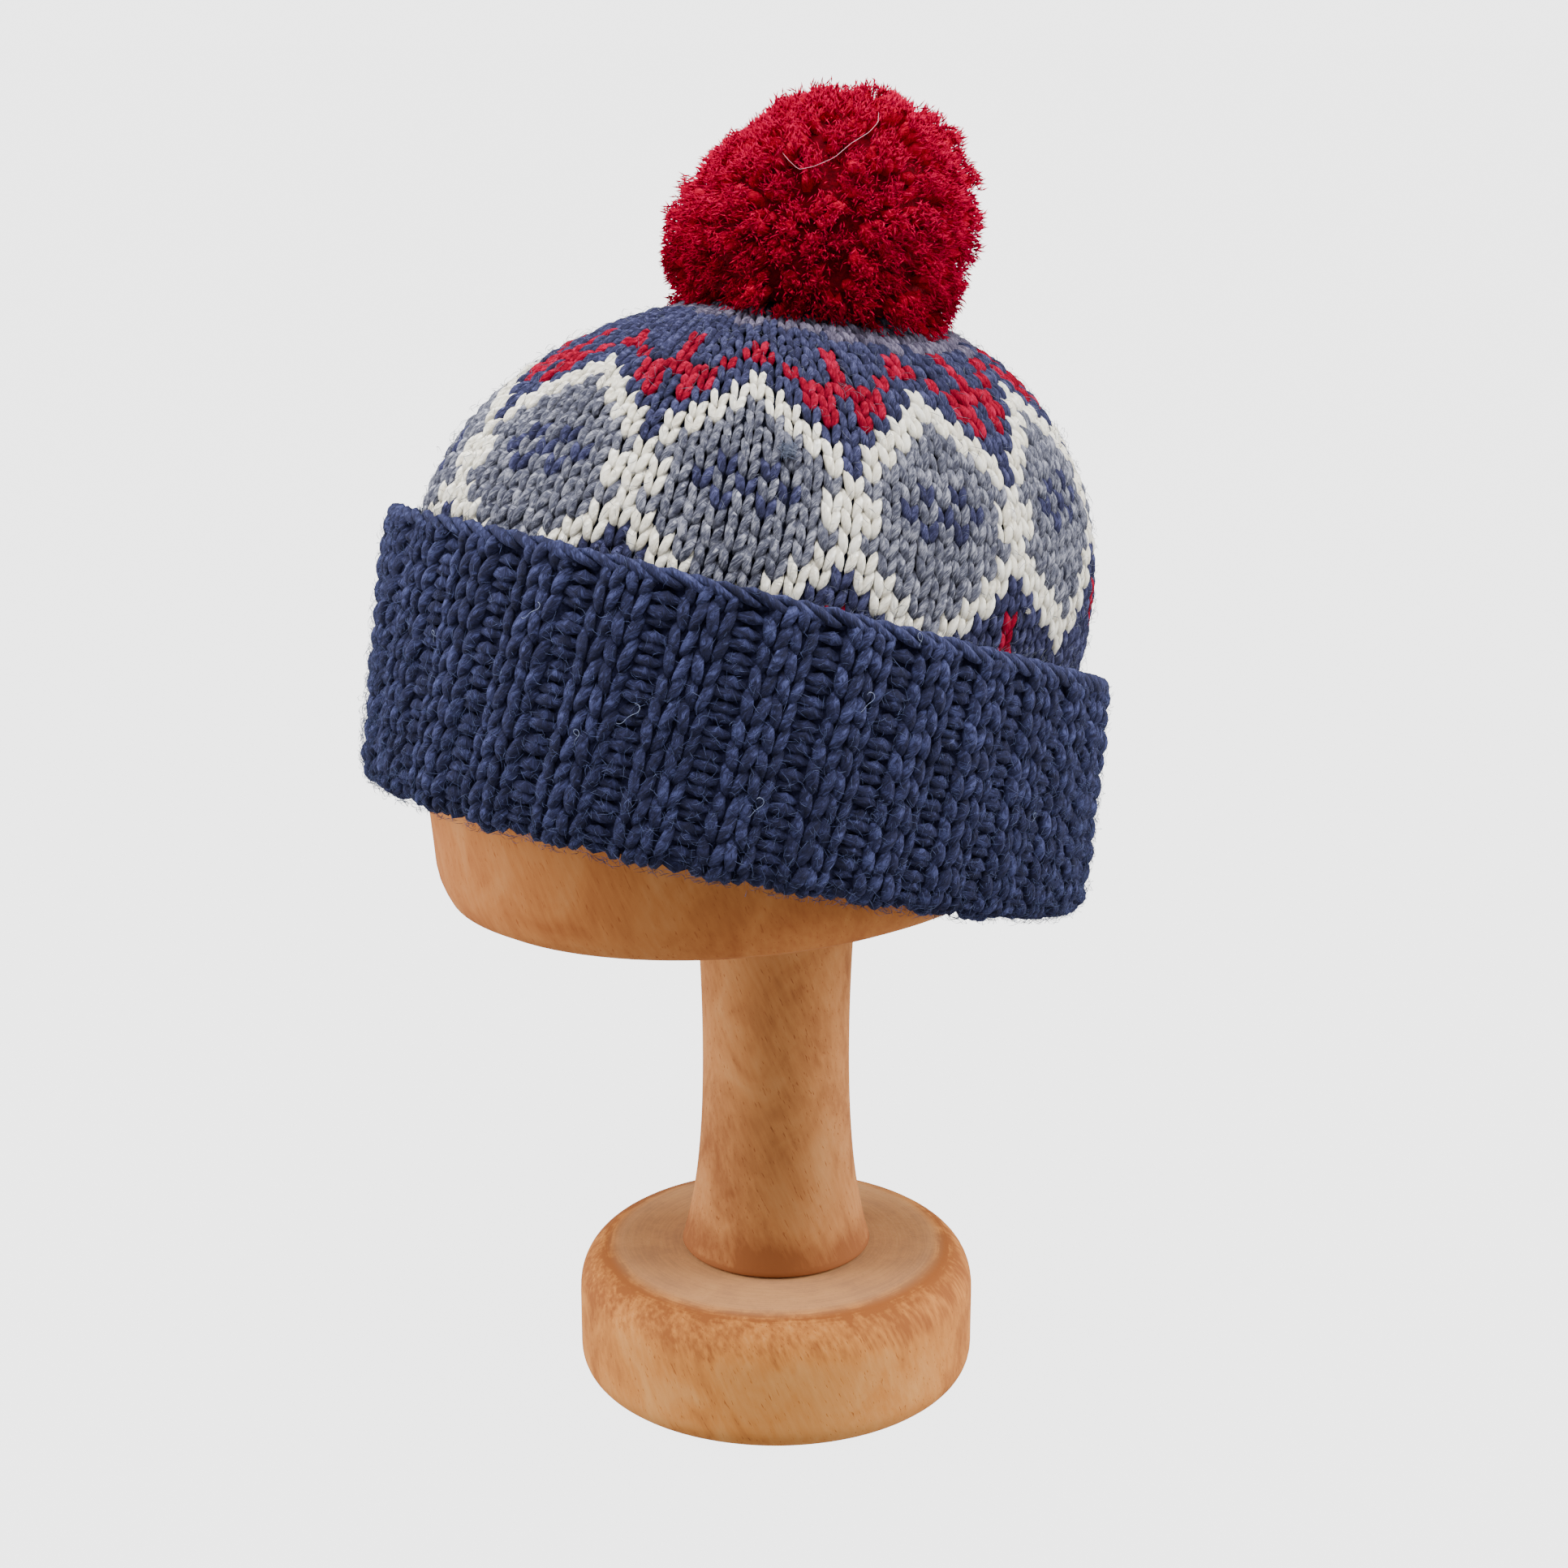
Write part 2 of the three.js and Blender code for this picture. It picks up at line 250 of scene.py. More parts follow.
    def crown(self, turn: Array, angle: Array, out: float = 0.0, below: Array | float = 0.0) -> Array:
        """Points of the crown's skin.

        Args:
            turn: Angle above the cuff's rim, up to a right angle at the pole.
            angle: Angle round the hat.
            out: How far the skin is moved out.
            below: How far under the rim the point lies, where turn is zero.

        Returns:
            An array of points in millimetres.
        """
        around = self.even(angle)
        flat = np.cos(turn)
        parts = np.broadcast_arrays(flat * np.cos(around), flat * np.sin(around), np.sin(turn))
        full = math.acos(
            math.cos(self.pole_forward)
            / math.hypot(math.sin(self.pole_aside), math.sin(self.pole_forward), math.cos(self.pole_forward))
        )
        turned = self.toward_pole(np.stack(parts, -1), full * np.sin(turn) + 0 * around)
        radial = np.hypot(turned[..., 0], turned[..., 1])
        spread = radial**self.side_power
        across = 2 * radial / (self.crown_half_length + self.crown_half_width)
        along = turned[..., 2] / self.crown_rise
        reach = out / np.hypot(across, along)
        height = self.cuff_height + self.crown_rise * np.maximum(0, turned[..., 2]) ** self.top_power
        return self.place(
            height + reach * along - below,
            self.crown_half_length * spread + reach * across,
            self.crown_half_width * spread + reach * across,
            np.arctan2(turned[..., 1], turned[..., 0]),
        )


class Skin:
    """A surface laid out by distance along its columns and angle round the hat, for stitches to sit on."""

    def __init__(self, curves: Array, step: float = 1.0) -> None:
        """Measures the columns and lays an even grid on them.

        Args:
            curves: Points of shape (samples, angles, 3), sampled along each column from its start.
            step: Distance between two rows of the grid.
        """
        lengths = np.linalg.norm(np.diff(curves, axis=0), axis=-1)
        distance = np.concatenate([np.zeros((1, curves.shape[1])), np.cumsum(lengths, 0)])
        self.step = step
        self.columns = curves.shape[1]
        self.reach = distance[-1]
        rows = np.arange(0, distance[-1].max(), step)
        grid = np.empty((len(rows), self.columns, 3))
        for column in range(self.columns):
            for axis in range(3):
                grid[:, column, axis] = np.interp(rows, distance[:, column], curves[:, column, axis])
        self.grid = grid
        down = np.gradient(grid, axis=0)
        around = np.roll(grid, -1, axis=1) - np.roll(grid, 1, axis=1)
        normal = np.cross(around, down)
        length = np.linalg.norm(normal, axis=-1, keepdims=True)
        normal = normal / np.maximum(length, 1e-9)
        middle = grid.mean((0, 1))
        if np.median(np.einsum("ijk,ijk->ij", normal, grid - middle)) < 0:
            normal = -normal
        self.normal = normal
        self.metric = np.linalg.norm(around, axis=-1) / (2 * TAU / self.columns)

    def weights(self, distance: Array, angle: Array) -> tuple[Array, Array, Array, Array, Array]:
        """Rows and columns of the grid next to given places, for reading it.

        Args:
            distance: Distances along the columns, in millimetres.
            angle: Angles round the hat.

        Returns:
            The row, the share to the next, the column, the next column and the share to it.
        """
        row = np.clip(distance / self.step, 0, len(self.grid) - 1.001)
        column = (angle / TAU * self.columns) % self.columns
        low = row.astype(int)
        left = column.astype(int) % self.columns
        return low, row - low, left, (left + 1) % self.columns, column - column.astype(int)

    def read(self, field_grid: Array, distance: Array, angle: Array) -> Array:
        """Reads a grid at given distances and angles, evenly between its points.

        Args:
            field_grid: The grid, of one value or three for each point.
            distance: Distances along the columns, in millimetres.
            angle: Angles round the hat.

        Returns:
            The values there.
        """
        low, up, left, right, over = self.weights(distance, angle)
        if field_grid.ndim == 3:
            up, over = up[..., None], over[..., None]
        first = field_grid[low, left] * (1 - over) + field_grid[low, right] * over
        second = field_grid[low + 1, left] * (1 - over) + field_grid[low + 1, right] * over
        return first * (1 - up) + second * up

    def at(self, distance: Array, angle: Array, out: Array | float) -> Array:
        """Points at given distances and angles, moved out along the surface's normal.

        Args:
            distance: Distances along the columns, in millimetres.
            angle: Angles round the hat.
            out: How far they are moved out.

        Returns:
            The points.
        """
        normal = unit(self.read(self.normal, distance, angle))
        return self.read(self.grid, distance, angle) + normal * np.asarray(out)[..., None]

    def depth(self, points: Array) -> Array:
        """Signed distance of points from the surface, positive outside, by its grid's nearest point.

        Args:
            points: The points, in the row's frame.

        Returns:
            One distance for each point.
        """
        spots = self.grid[::2, ::4].reshape(-1, 3)
        tree = KDTree(len(spots))
        normals = self.normal[::2, ::4].reshape(-1, 3)
        for index, spot in enumerate(spots):
            tree.insert(spot, index)
        tree.balance()
        flat = points.reshape(-1, 3)
        nearest = np.array([tree.find(point)[1] for point in flat])
        return ((flat - spots[nearest]) * normals[nearest]).sum(1).reshape(points.shape[:-1])

    def reach_at(self, angle: Array) -> Array:
        """Length of the column at an angle."""
        column = np.arange(self.columns + 1) / self.columns * TAU
        return np.interp(np.mod(angle, TAU), column, np.append(self.reach, self.reach[0]))


@dataclass
class Strand:
    """A short length of yarn to be repeated: its vertices, faces, and where each vertex lies in the yarn."""

    points: Array
    faces: list[tuple[int, ...]]
    around: Array
    along: Array


def make_strand(
    spine: Callable[[Array], Array],
    radius: Callable[[Array], Array],
    sides: int,
    rings: int,
    flat: float = 1.0,
) -> Strand:
    """Bends a sphere's rings along a spine.

    Args:
        spine: Gives the middle of the yarn for shares of its length from 0 to 1.
        radius: Gives the yarn's radius for the same shares.
        sides: Number of sides round the yarn.
        rings: Number of rings from end to end, with the two end points counted.
        flat: Thickness of the yarn as a share of its width.

    Returns:
        The strand, with its ends closed.
    """
    shape = bmesh.new()
    bmesh.ops.create_uvsphere(shape, u_segments=sides, v_segments=rings, radius=1.0)
    bmesh.ops.recalc_face_normals(shape, faces=shape.faces[:])
    shape.verts.ensure_lookup_table()
    ball = np.array([v.co[:] for v in shape.verts])
    faces = [tuple(v.index for v in f.verts) for f in shape.faces]
    shape.free()
    share = np.clip(np.arccos(np.clip(-ball[:, 2], -1, 1)) / math.pi, 0, 1)
    around = np.arctan2(ball[:, 1], ball[:, 0])
    tip = np.hypot(ball[:, 0], ball[:, 1]) > 1e-6
    middle = spine(share)
    ahead = unit(spine(np.clip(share + 0.02, 0, 1)) - spine(np.clip(share - 0.02, 0, 1)))
    side = np.cross(ahead, [0, 0, 1.0])
    side /= np.maximum(np.linalg.norm(side, axis=1, keepdims=True), 1e-9)
    upward = np.cross(side, ahead)
    size = np.where(tip, radius(share), 0.0)[:, None]
    points = middle + size * (np.cos(around)[:, None] * side + flat * np.sin(around)[:, None] * upward)
    return Strand(points, faces, around, share)


@dataclass
class Stamped:
    """Many strands joined: points in millimetres, faces, and the values that the yarn's finish reads."""

    points: list[Array] = field(default_factory=list)
    faces: list[Array] = field(default_factory=list)
    values: list[Array] = field(default_factory=list)
    count: int = 0

    def add(self, strand: Strand, points: Array, tone: Array, length: float, turns: float) -> None:
        """Adds copies of a strand.

        Args:
            strand: The strand that is repeated.
            points: Its placed points, of shape (copies, vertices, 3).
            tone: One value for each copy, for its shade: from 0 to 1 at random, and lower by painted shade
                toward the pompom's foot.
            length: Length of the strand in millimetres.
            turns: Turns of the yarn's twist over that length.
        """
        copies, size = points.shape[:2]
        wave = np.broadcast_to(2 * strand.around + TAU * turns * strand.along, (copies, size))
        drift = (tone * 97.0)[:, None]
        value = np.stack(
            [
                np.sin(wave),
                np.broadcast_to(strand.along * length, (copies, size)) + drift,
                np.broadcast_to(tone[:, None], (copies, size)),
            ],
            -1,
        )
        corners = np.array([list(f) + [-1] * (4 - len(f)) for f in strand.faces])
        offsets = self.count + np.arange(copies)[:, None, None] * size
        self.faces.append(np.where(corners[None] < 0, -1, corners[None] + offsets).reshape(-1, 4))
        self.points.append(points.reshape(-1, 3))
        self.values.append(value.reshape(-1, 3))
        self.count += copies * size

    def piece(self, name: str) -> Piece:
        """Makes the joined mesh, in metres, as a smooth object.

        Args:
            name: Name of the piece.

        Returns:
            The piece.
        """
        points = np.concatenate(self.points) * MM
        faces = np.concatenate(self.faces)
        sizes = np.where(faces[:, 3] < 0, 3, 4)
        loops = faces.reshape(-1)
        loops = loops[loops >= 0]
        mesh = bpy.data.meshes.new(name)
        mesh.vertices.add(len(points))
        mesh.vertices.foreach_set("co", points.astype(np.float32).ravel())
        mesh.loops.add(len(loops))
        mesh.loops.foreach_set("vertex_index", loops.astype(np.int32))
        mesh.polygons.add(len(faces))
        starts = np.concatenate([[0], np.cumsum(sizes)[:-1]])
        mesh.polygons.foreach_set("loop_start", starts.astype(np.int32))
        mesh.polygons.foreach_set("use_smooth", np.ones(len(faces), bool))
        values = mesh.attributes.new("yarn", "FLOAT_VECTOR", "POINT")
        values.data.foreach_set("vector", np.concatenate(self.values).astype(np.float32).ravel())
        mesh.update(calc_edges=True)
        mesh.validate()
        return link(bpy.data.objects.new(name, mesh))


def link(piece: Piece) -> Piece:
    """Puts a new object into the scene."""
    bpy.context.scene.collection.objects.link(piece)
    return piece


def triangles(piece: Piece) -> int:
    """Number of triangles in a piece's mesh."""
    return sum(len(p.vertices) - 2 for p in piece.data.polygons)


def smooth_piece(name: str, shape: bmesh.types.BMesh) -> Piece:
    """Makes a smooth object of a shape, and frees the shape.

    Args:
        name: Name of the piece.
        shape: The shape, in metres.

    Returns:
        The piece.
    """
    for face in shape.faces:
        face.smooth = True
    mesh = bpy.data.meshes.new(name)
    shape.to_mesh(mesh)
    shape.free()
    return link(bpy.data.objects.new(name, mesh))


def settle(piece: Piece, slot: str, finish: "Finish", *nodes: str) -> Piece:
    """Gives a piece its finish and its body, and reports it.

    Args:
        piece: The finished piece.
        slot: The record's material slot, which is not used.
        finish: The finish to dress it in.
        nodes: The frame's nodes that it stands for.

    Returns:
        The same piece.
    """
    piece.data.materials.append(finish.material())
    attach(piece, BODY)
    if nodes:
        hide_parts(*nodes)
    LOG.info("%s: %d triangles", piece.name, triangles(piece))
    return piece


class Nodes:
    """A small helper that adds shader nodes to a material and joins them."""

    def __init__(self, name: str) -> None:
        """Starts a material with a principled shader."""
        self.material = bpy.data.materials.new(name)
        self.material.use_nodes = True
        self.tree = self.material.node_tree
        self.shader = self.tree.nodes["Principled BSDF"]

    def add(self, kind: str, **settings: object) -> bpy.types.Node:
        """Adds a node, and sets its properties by name.

        Args:
            kind: Type of the node.
            settings: Its properties by name.

        Returns:
            The node.
        """
        node = self.tree.nodes.new(kind)
        for name, value in settings.items():
            setattr(node, name, value)
        return node

    def join(self, source: Socket, target: Socket) -> None:
        """Joins two sockets."""
        self.tree.links.new(source, target)

    def coordinates(self) -> Socket:
        """The object's own coordinates."""
        return self.add("ShaderNodeTexCoord").outputs["Object"]

    def noise(
        self,
        vector: Socket,
        scale: float,
        detail: float = 3.0,
        stretch: tuple = (1, 1, 1),
        swirl: float = 0.0,
    ) -> Socket:
        """Noise over a vector, stretched by a mapping and swirled.

        Args:
            vector: Coordinates that it follows.
            scale: How fine it is.
            detail: How many finer layers it has.
            stretch: Scale along each axis.
            swirl: How much it is distorted.

        Returns:
            The noise, from 0 to 1.
        """
        mapping = self.add("ShaderNodeMapping")
        mapping.inputs["Scale"].default_value = stretch
        self.join(vector, mapping.inputs["Vector"])
        noise = self.add("ShaderNodeTexNoise")
        noise.inputs["Scale"].default_value = scale
        noise.inputs["Detail"].default_value = detail
        noise.inputs["Distortion"].default_value = swirl
        self.join(mapping.outputs["Vector"], noise.inputs["Vector"])
        return noise.outputs["Fac"]

    def ramp(self, source: Socket, stops: list[tuple[float, tuple]]) -> Socket:
        """A colour ramp with the given stops of place and colour.

        Args:
            source: The share that it reads.
            stops: Place and colour of each stop.

        Returns:
            The colour.
        """
        ramp = self.add("ShaderNodeValToRGB")
        elements = ramp.color_ramp.elements
        while len(elements) < len(stops):
            elements.new(0.5)
        for element, (place, colour) in zip(elements, stops):
            element.position = place
            element.color = (*colour, 1.0)
        self.join(source, ramp.inputs["Fac"])
        return ramp.outputs["Color"]

    def feed(self, target: Socket, value: object) -> None:
        """Feeds a socket from another node's socket, a number or a colour.

        Args:
            target: The socket that is fed.
            value: The other socket, or the number or colour that the target is set to.
        """
        if isinstance(value, Socket):
            self.join(value, target)
        else:
            target.default_value = (*value, 1.0) if isinstance(value, tuple) else value

    def dress(self, values: dict[str, object]) -> None:
        """Feeds the shader's own sockets by name."""
        for name, value in values.items():
            self.feed(self.shader.inputs[name], value)

    def split(self, vector: Socket) -> tuple[Socket, ...]:
        """The three parts of a vector."""
        parts = self.add("ShaderNodeSeparateXYZ")
        self.join(vector, parts.inputs["Vector"])
        return tuple(parts.outputs[axis] for axis in "XYZ")

    def gather(self, *parts: Socket) -> Socket:
        """The vector of three parts."""
        vector = self.add("ShaderNodeCombineXYZ")
        for part, target in zip(parts, vector.inputs):
            self.join(part, target)
        return vector.outputs["Vector"]

    def math(self, operation: str, first: object, second: object = 0.0) -> Socket:
        """A maths node over sockets or numbers.

        Args:
            operation: Name of the operation.
            first: The first value.
            second: The second value, where the operation has one.

        Returns:
            The result.
        """
        node = self.add("ShaderNodeMath", operation=operation)
        for target, value in zip(node.inputs, (first, second)):
            self.feed(target, value)
        return node.outputs["Value"]

    def plus(self, first: object, second: object) -> Socket:
        """Sum of two values."""
        return self.math("ADD", first, second)

    def less(self, first: object, second: object) -> Socket:
        """The first value less the second."""
        return self.math("SUBTRACT", first, second)

    def times(self, first: object, second: object) -> Socket:
        """Product of two values."""
        return self.math("MULTIPLY", first, second)

    def weighed(self, *terms: tuple[Socket, float]) -> Socket:
        """Sum of sockets, each times its own share."""
        parts = [self.times(source, share) for source, share in terms]
        return functools.reduce(self.plus, parts)

    def falloff(self, value: Socket, full: float, none: float) -> Socket:
        """A smooth share that is 1 at one value and 0 at the other.

        Args:
            value: The length that the share follows.
            full: Millimetres where it is 1.
            none: Millimetres where it is 0.

        Returns:
            The share.
        """
        node = self.add("ShaderNodeMapRange", interpolation_type="SMOOTHSTEP")
        self.join(value, node.inputs["Value"])
        node.inputs["From Min"].default_value = full * MM
        node.inputs["From Max"].default_value = none * MM
        node.inputs["To Min"].default_value = 1.0
        node.inputs["To Max"].default_value = 0.0
        return node.outputs["Result"]

    def mix(self, share: object, first: object, second: object) -> Socket:
        """Mixes two colours by a share, each a socket or a value.

        Args:
            share: Share of the second colour.
            first: The first colour.
            second: The second colour.

        Returns:
            The mixed colour.
        """
        node = self.add("ShaderNodeMix", data_type="RGBA", blend_type="MIX")
        for target, value in zip((node.inputs[0], node.inputs[6], node.inputs[7]), (share, first, second)):
            self.feed(target, value)
        return node.outputs[2]

    def bump(self, height: Socket, strength: float, distance: float) -> None:
        """Raises the surface by a height, given in millimetres for a full step.

        Args:
            height: The height's pattern.
            strength: How strongly it shows.
            distance: Millimetres of a full step.
        """
        bump = self.add("ShaderNodeBump")
        bump.inputs["Strength"].default_value = strength
        bump.inputs["Distance"].default_value = distance * MM
        self.join(height, bump.inputs["Height"])
        self.join(bump.outputs["Normal"], self.shader.inputs["Normal"])


def srgb(red: int, green: int, blue: int) -> tuple[float, float, float]:
    """Linear colour from red, green and blue of 0 to 255 as they are seen.

    Args:
        red: Level of red.
        green: Level of green.
        blue: Level of blue.

    Returns:
        The linear colour.
    """

    def linear(level: float) -> float:
        """Linear level of a level as it is seen."""
        return level / 12.92 if level <= 0.04045 else ((level + 0.055) / 1.055) ** 2.4

    return linear(red / 255), linear(green / 255), linear(blue / 255)


class Finish:
    """A finish that makes its material once and hands it out again."""

    made: dict[str, bpy.types.Material] = {}
    name: str

    def material(self) -> bpy.types.Material:
        """The finish's material, made on its first use."""
        if self.name not in Finish.made:
            Finish.made[self.name] = self.make()
        return Finish.made[self.name]

    def make(self) -> bpy.types.Material:
        """Makes the material."""
        raise NotImplementedError


@dataclass(frozen=True)
class YarnFinish(Finish):
    """Spun wool: two tones streaked along the strand, a twist, fine fibres and a soft sheen.

    Attributes:
        name: Name of the material.
        dark: Colour of its darkest streaks.
        main: Colour of most of the wool.
        light: Colour of its lightest streaks, and of its sheen.
        marl: How strongly the streaks show.
        twist: How deep the grooves of the twist are.
        sheen: Weight of the soft sheen.
        gloss: Level of the direct shine.
    """

    name: str
    dark: Colour
    main: Colour
    light: Colour
    marl: float = 0.5
    twist: float = 0.35
    sheen: float = 0.25
    gloss: float = 0.2

    def make(self) -> bpy.types.Material:
        """Makes the yarn's material from the values that its strands carry."""
        nodes = Nodes(self.name)
        yarn = nodes.add("ShaderNodeAttribute", attribute_name="yarn").outputs["Vector"]
        wave, _, tone = nodes.split(yarn)
        streak = nodes.noise(yarn, 1.0, 4.0, (1.7, 0.42, 31.0))
        fibre = nodes.noise(yarn, 1.0, 3.0, (8.5, 0.9, 57.0))
        heather = nodes.noise(nodes.coordinates(), 420.0, 2.0)
        shades = ((streak, self.marl), (heather, 0.5), (fibre, 0.9), (tone, 0.2))
        level = nodes.weighed(*shades, (wave, 0.05))
        middle = sum(share for _, share in shades) / 2
        stops = [(0.2, self.dark), (0.5, self.main), (0.8, self.light)]
        nodes.bump(nodes.weighed((wave, self.twist), (fibre, 1.5), (streak, 0.5)), 0.9, 0.55)
        nodes.dress(
            {
                "Base Color": nodes.ramp(nodes.less(level, middle - 0.5), stops),
                "Roughness": 0.95,
                "Specular IOR Level": self.gloss,
                "Sheen Weight": self.sheen,
                "Sheen Roughness": 0.5,
                "Sheen Tint": self.light,
            }
        )
        return nodes.material


@dataclass(frozen=True)
class BackingFinish(Finish):
    """The wool seen deep between the stitches and inside the hat."""

    name: str
    colour: Colour

    def make(self) -> bpy.types.Material:
        """Makes a dark felted wool."""
        nodes = Nodes(self.name)
        fibre = nodes.noise(nodes.coordinates(), 900.0, 4.0)
        shade = tuple(0.45 * level for level in self.colour)
        felt = nodes.ramp(fibre, [(0.35, shade), (0.7, self.colour)])
        nodes.bump(fibre, 0.8, 1.0)
        nodes.dress({"Base Color": felt, "Roughness": 1.0, "Specular IOR Level": 0.1})
        return nodes.material


@dataclass(frozen=True)
class StainedEdge:
    """Where the base's stain has worn and gathered near its upper edge, and where light is painted on its
    top, in millimetres.

    Attributes:
        top: Heights where the side ends and the flat top begins.
        painted_top_light: Radii between which the middle of the top ends, drawn paler and greyer as painted
            light from above.
        line: Radius of the dark line round the top.
        line_fade: Distances from that line where it is full and where it ends.
        outside: Radii between which the chipped band starts.
        above: Heights between which the chipped band starts.
    """

    top: tuple[float, float] = (36.5, 39.2)
    painted_top_light: tuple[float, float] = (46.0, 52.0)
    line: float = 51.2
    line_fade: tuple[float, float] = (0.4, 2.2)
    outside: tuple[float, float] = (50.5, 53.0)
    above: tuple[float, float] = (26.5, 31.5)


@dataclass(frozen=True)
class WoodFinish(Finish):
    """Turned wood under a brushed stain: clouds, streaks up the wood and a soft satin.

    Attributes:
        name: Name of the material.
        main: Colour of most of the wood.
        light: Colour where the stain is thin.
        dark: Colour where the stain has gathered.
        seam: Height in millimetres below which stain has gathered at a joint, or 0 for none.
        edge: The stained upper edge, the turning marks and the painted light on the top, or None for none of
            them.
    """

    name: str
    main: Colour
    light: Colour
    dark: Colour
    seam: float = 0.0
    edge: StainedEdge | None = None

    def make(self) -> bpy.types.Material:
        """Makes the wood's material."""
        nodes = Nodes(self.name)
        space = nodes.coordinates()
        x, y, height = nodes.split(space)
        radius = nodes.math("SQRT", nodes.plus(nodes.math("POWER", x, 2.0), nodes.math("POWER", y, 2.0)))
        slanted = self.slanted(nodes, x, y, height)
        cloud = nodes.noise(space, 52.0, 6.0, (1.0, 1.0, 0.7), 1.2)
        shade = nodes.noise(space, 17.0, 3.0)
        stroke = nodes.noise(slanted, 1.0, 4.0)
        pores = nodes.noise(slanted, 2.6, 3.0)
        pitted = nodes.math("MAXIMUM", nodes.less(0.37, pores), 0.0)
        level = nodes.weighed((cloud, 0.46), (stroke, 0.2), (shade, 0.36), (pitted, -2.2))
        if self.seam:
            near = nodes.falloff(height, self.seam, self.seam + 11.0)
            close = nodes.falloff(height, self.seam - 3.5, self.seam - 1.0)
            level = nodes.less(level, nodes.weighed((near, 0.12), (close, 0.2)))
        if self.edge:
            level = self.turning_marks(nodes, space, radius, height, level)
        colour = nodes.ramp(level, [(0.36, self.dark), (0.51, self.main), (0.68, self.light)])
        if self.edge:
            # Painted light: the middle of the base's flat top is mixed toward a pale grey-brown, for the
            # light that falls on it from above.
            upper = nodes.less(1.0, nodes.falloff(height, *self.edge.top))
            inner = nodes.falloff(radius, *self.edge.painted_top_light)
            painted_top_light = nodes.mix(0.5, colour, srgb(190, 152, 114))
            colour = nodes.mix(nodes.times(upper, inner), colour, painted_top_light)
        nodes.bump(nodes.weighed((stroke, 0.8), (pitted, -3.0)), 0.35, 0.25)
        nodes.dress({"Base Color": colour, "Roughness": 0.8, "Specular IOR Level": 0.08})
        return nodes.material

    @staticmethod
    def slanted(nodes: Nodes, x: Socket, y: Socket, height: Socket) -> Socket:
        """Coordinates that stretch fine marks up the wood, leaning a little to one side.

        Args:
            nodes: The material's nodes.
            x: Place across.
            y: Place along.
            height: Height.

        Returns:
            The coordinates.
        """
        lean = nodes.times(height, 0.3)
        across = [nodes.times(nodes.plus(part, lean), 620.0) for part in (x, y)]
        return nodes.gather(*across, nodes.times(height, 110.0))

    def turning_marks(
        self, nodes: Nodes, space: Socket, radius: Socket, height: Socket, level: Socket
    ) -> Socket:
        """Adds a chipped dark band at the upper edge and rings on the top to the wood's level.

        Args:
            nodes: The material's nodes.
            space: The object's coordinates.
            radius: Distance from the lathe's axis.
            height: Height.
            level: The wood's level of stain.

        Returns:
            The level with the marks.
        """
        wobble = nodes.times(nodes.less(nodes.noise(space, 70.0, 5.0), 0.5), 0.012)
        rim = nodes.plus(radius, wobble)
        off_line = nodes.math("ABSOLUTE", nodes.less(rim, self.edge.line * MM))
        line = nodes.times(nodes.falloff(off_line, *self.edge.line_fade), 0.12)
        outside = nodes.less(1.0, nodes.falloff(rim, *self.edge.outside))
        above = nodes.less(1.0, nodes.falloff(nodes.plus(height, wobble), *self.edge.above))
        x, y, _ = nodes.split(space)
        waved = nodes.plus(radius, nodes.times(wobble, 0.12))
        axis_free = nodes.math("MAXIMUM", radius, 0.001)
        turned = [nodes.times(nodes.math("DIVIDE", part, axis_free), 2.4) for part in (x, y)]
        round_axis = nodes.gather(nodes.times(waved, 1500.0), *turned)
        chips = nodes.noise(self.slanted(nodes, x, y, height), 1.15, 5.0)
        chipped = nodes.plus(0.075, nodes.times(nodes.less(chips, 0.52), 0.4))
        band = nodes.plus(line, nodes.times(nodes.times(outside, above), chipped))
        rings = nodes.less(nodes.noise(round_axis, 1.0, 4.0), 0.5)
        top = nodes.less(1.0, nodes.falloff(height, *self.edge.top))
        rings = nodes.times(nodes.times(rings, top), 0.4)
        level = nodes.plus(level, nodes.less(rings, nodes.times(top, 0.03)))
        return nodes.less(level, band)


IVORY_WOOL = YarnFinish(
    "ivory_wool", srgb(214, 204, 180), srgb(248, 242, 225), srgb(255, 253, 246),
    marl=0.5, twist=0.3, sheen=0.2,
)
MARL_WOOL = YarnFinish(
    "marl_wool", srgb(44, 45, 60), srgb(85, 87, 102), srgb(156, 157, 170),
    marl=1.5, twist=0.35, sheen=0.25,
)
NAVY_WOOL = YarnFinish(
    "navy_wool", srgb(22, 22, 44), srgb(41, 42, 72), srgb(78, 80, 118),
    marl=1.2, twist=0.35, sheen=0.15,
)
RED_WOOL = YarnFinish(
    "red_wool", srgb(84, 0, 20), srgb(140, 2, 36), srgb(184, 22, 66),
    marl=0.9, twist=0.35, sheen=0.08, gloss=0.08,
)
LILAC_WOOL = YarnFinish(
    "lilac_wool", srgb(48, 43, 62), srgb(87, 81, 101), srgb(132, 124, 146),
    marl=1.3, twist=0.35, sheen=0.25,
)
CUFF_WOOL = YarnFinish(
    "cuff_wool", srgb(19, 20, 38), srgb(33, 35, 63), srgb(66, 71, 112),
    marl=1.25, twist=0.4, sheen=0.45,
)
POMPOM_WOOL = YarnFinish(
    "pompom_wool", srgb(120, 0, 22), srgb(186, 0, 44), srgb(208, 2, 62),
    marl=0.6, twist=0.35, sheen=0.02, gloss=0.02,
)
POMPOM_FLUFF = YarnFinish(
    "pompom_fluff", srgb(172, 0, 38), srgb(230, 0, 68), srgb(248, 8, 96),
    marl=0.7, twist=0.2, sheen=0.02, gloss=0.0,
)
PALE_FUZZ = YarnFinish(
    "pale_fuzz", srgb(62, 68, 92), srgb(98, 104, 126), srgb(170, 174, 186),
    marl=0.6, twist=0.2, sheen=0.1,
)
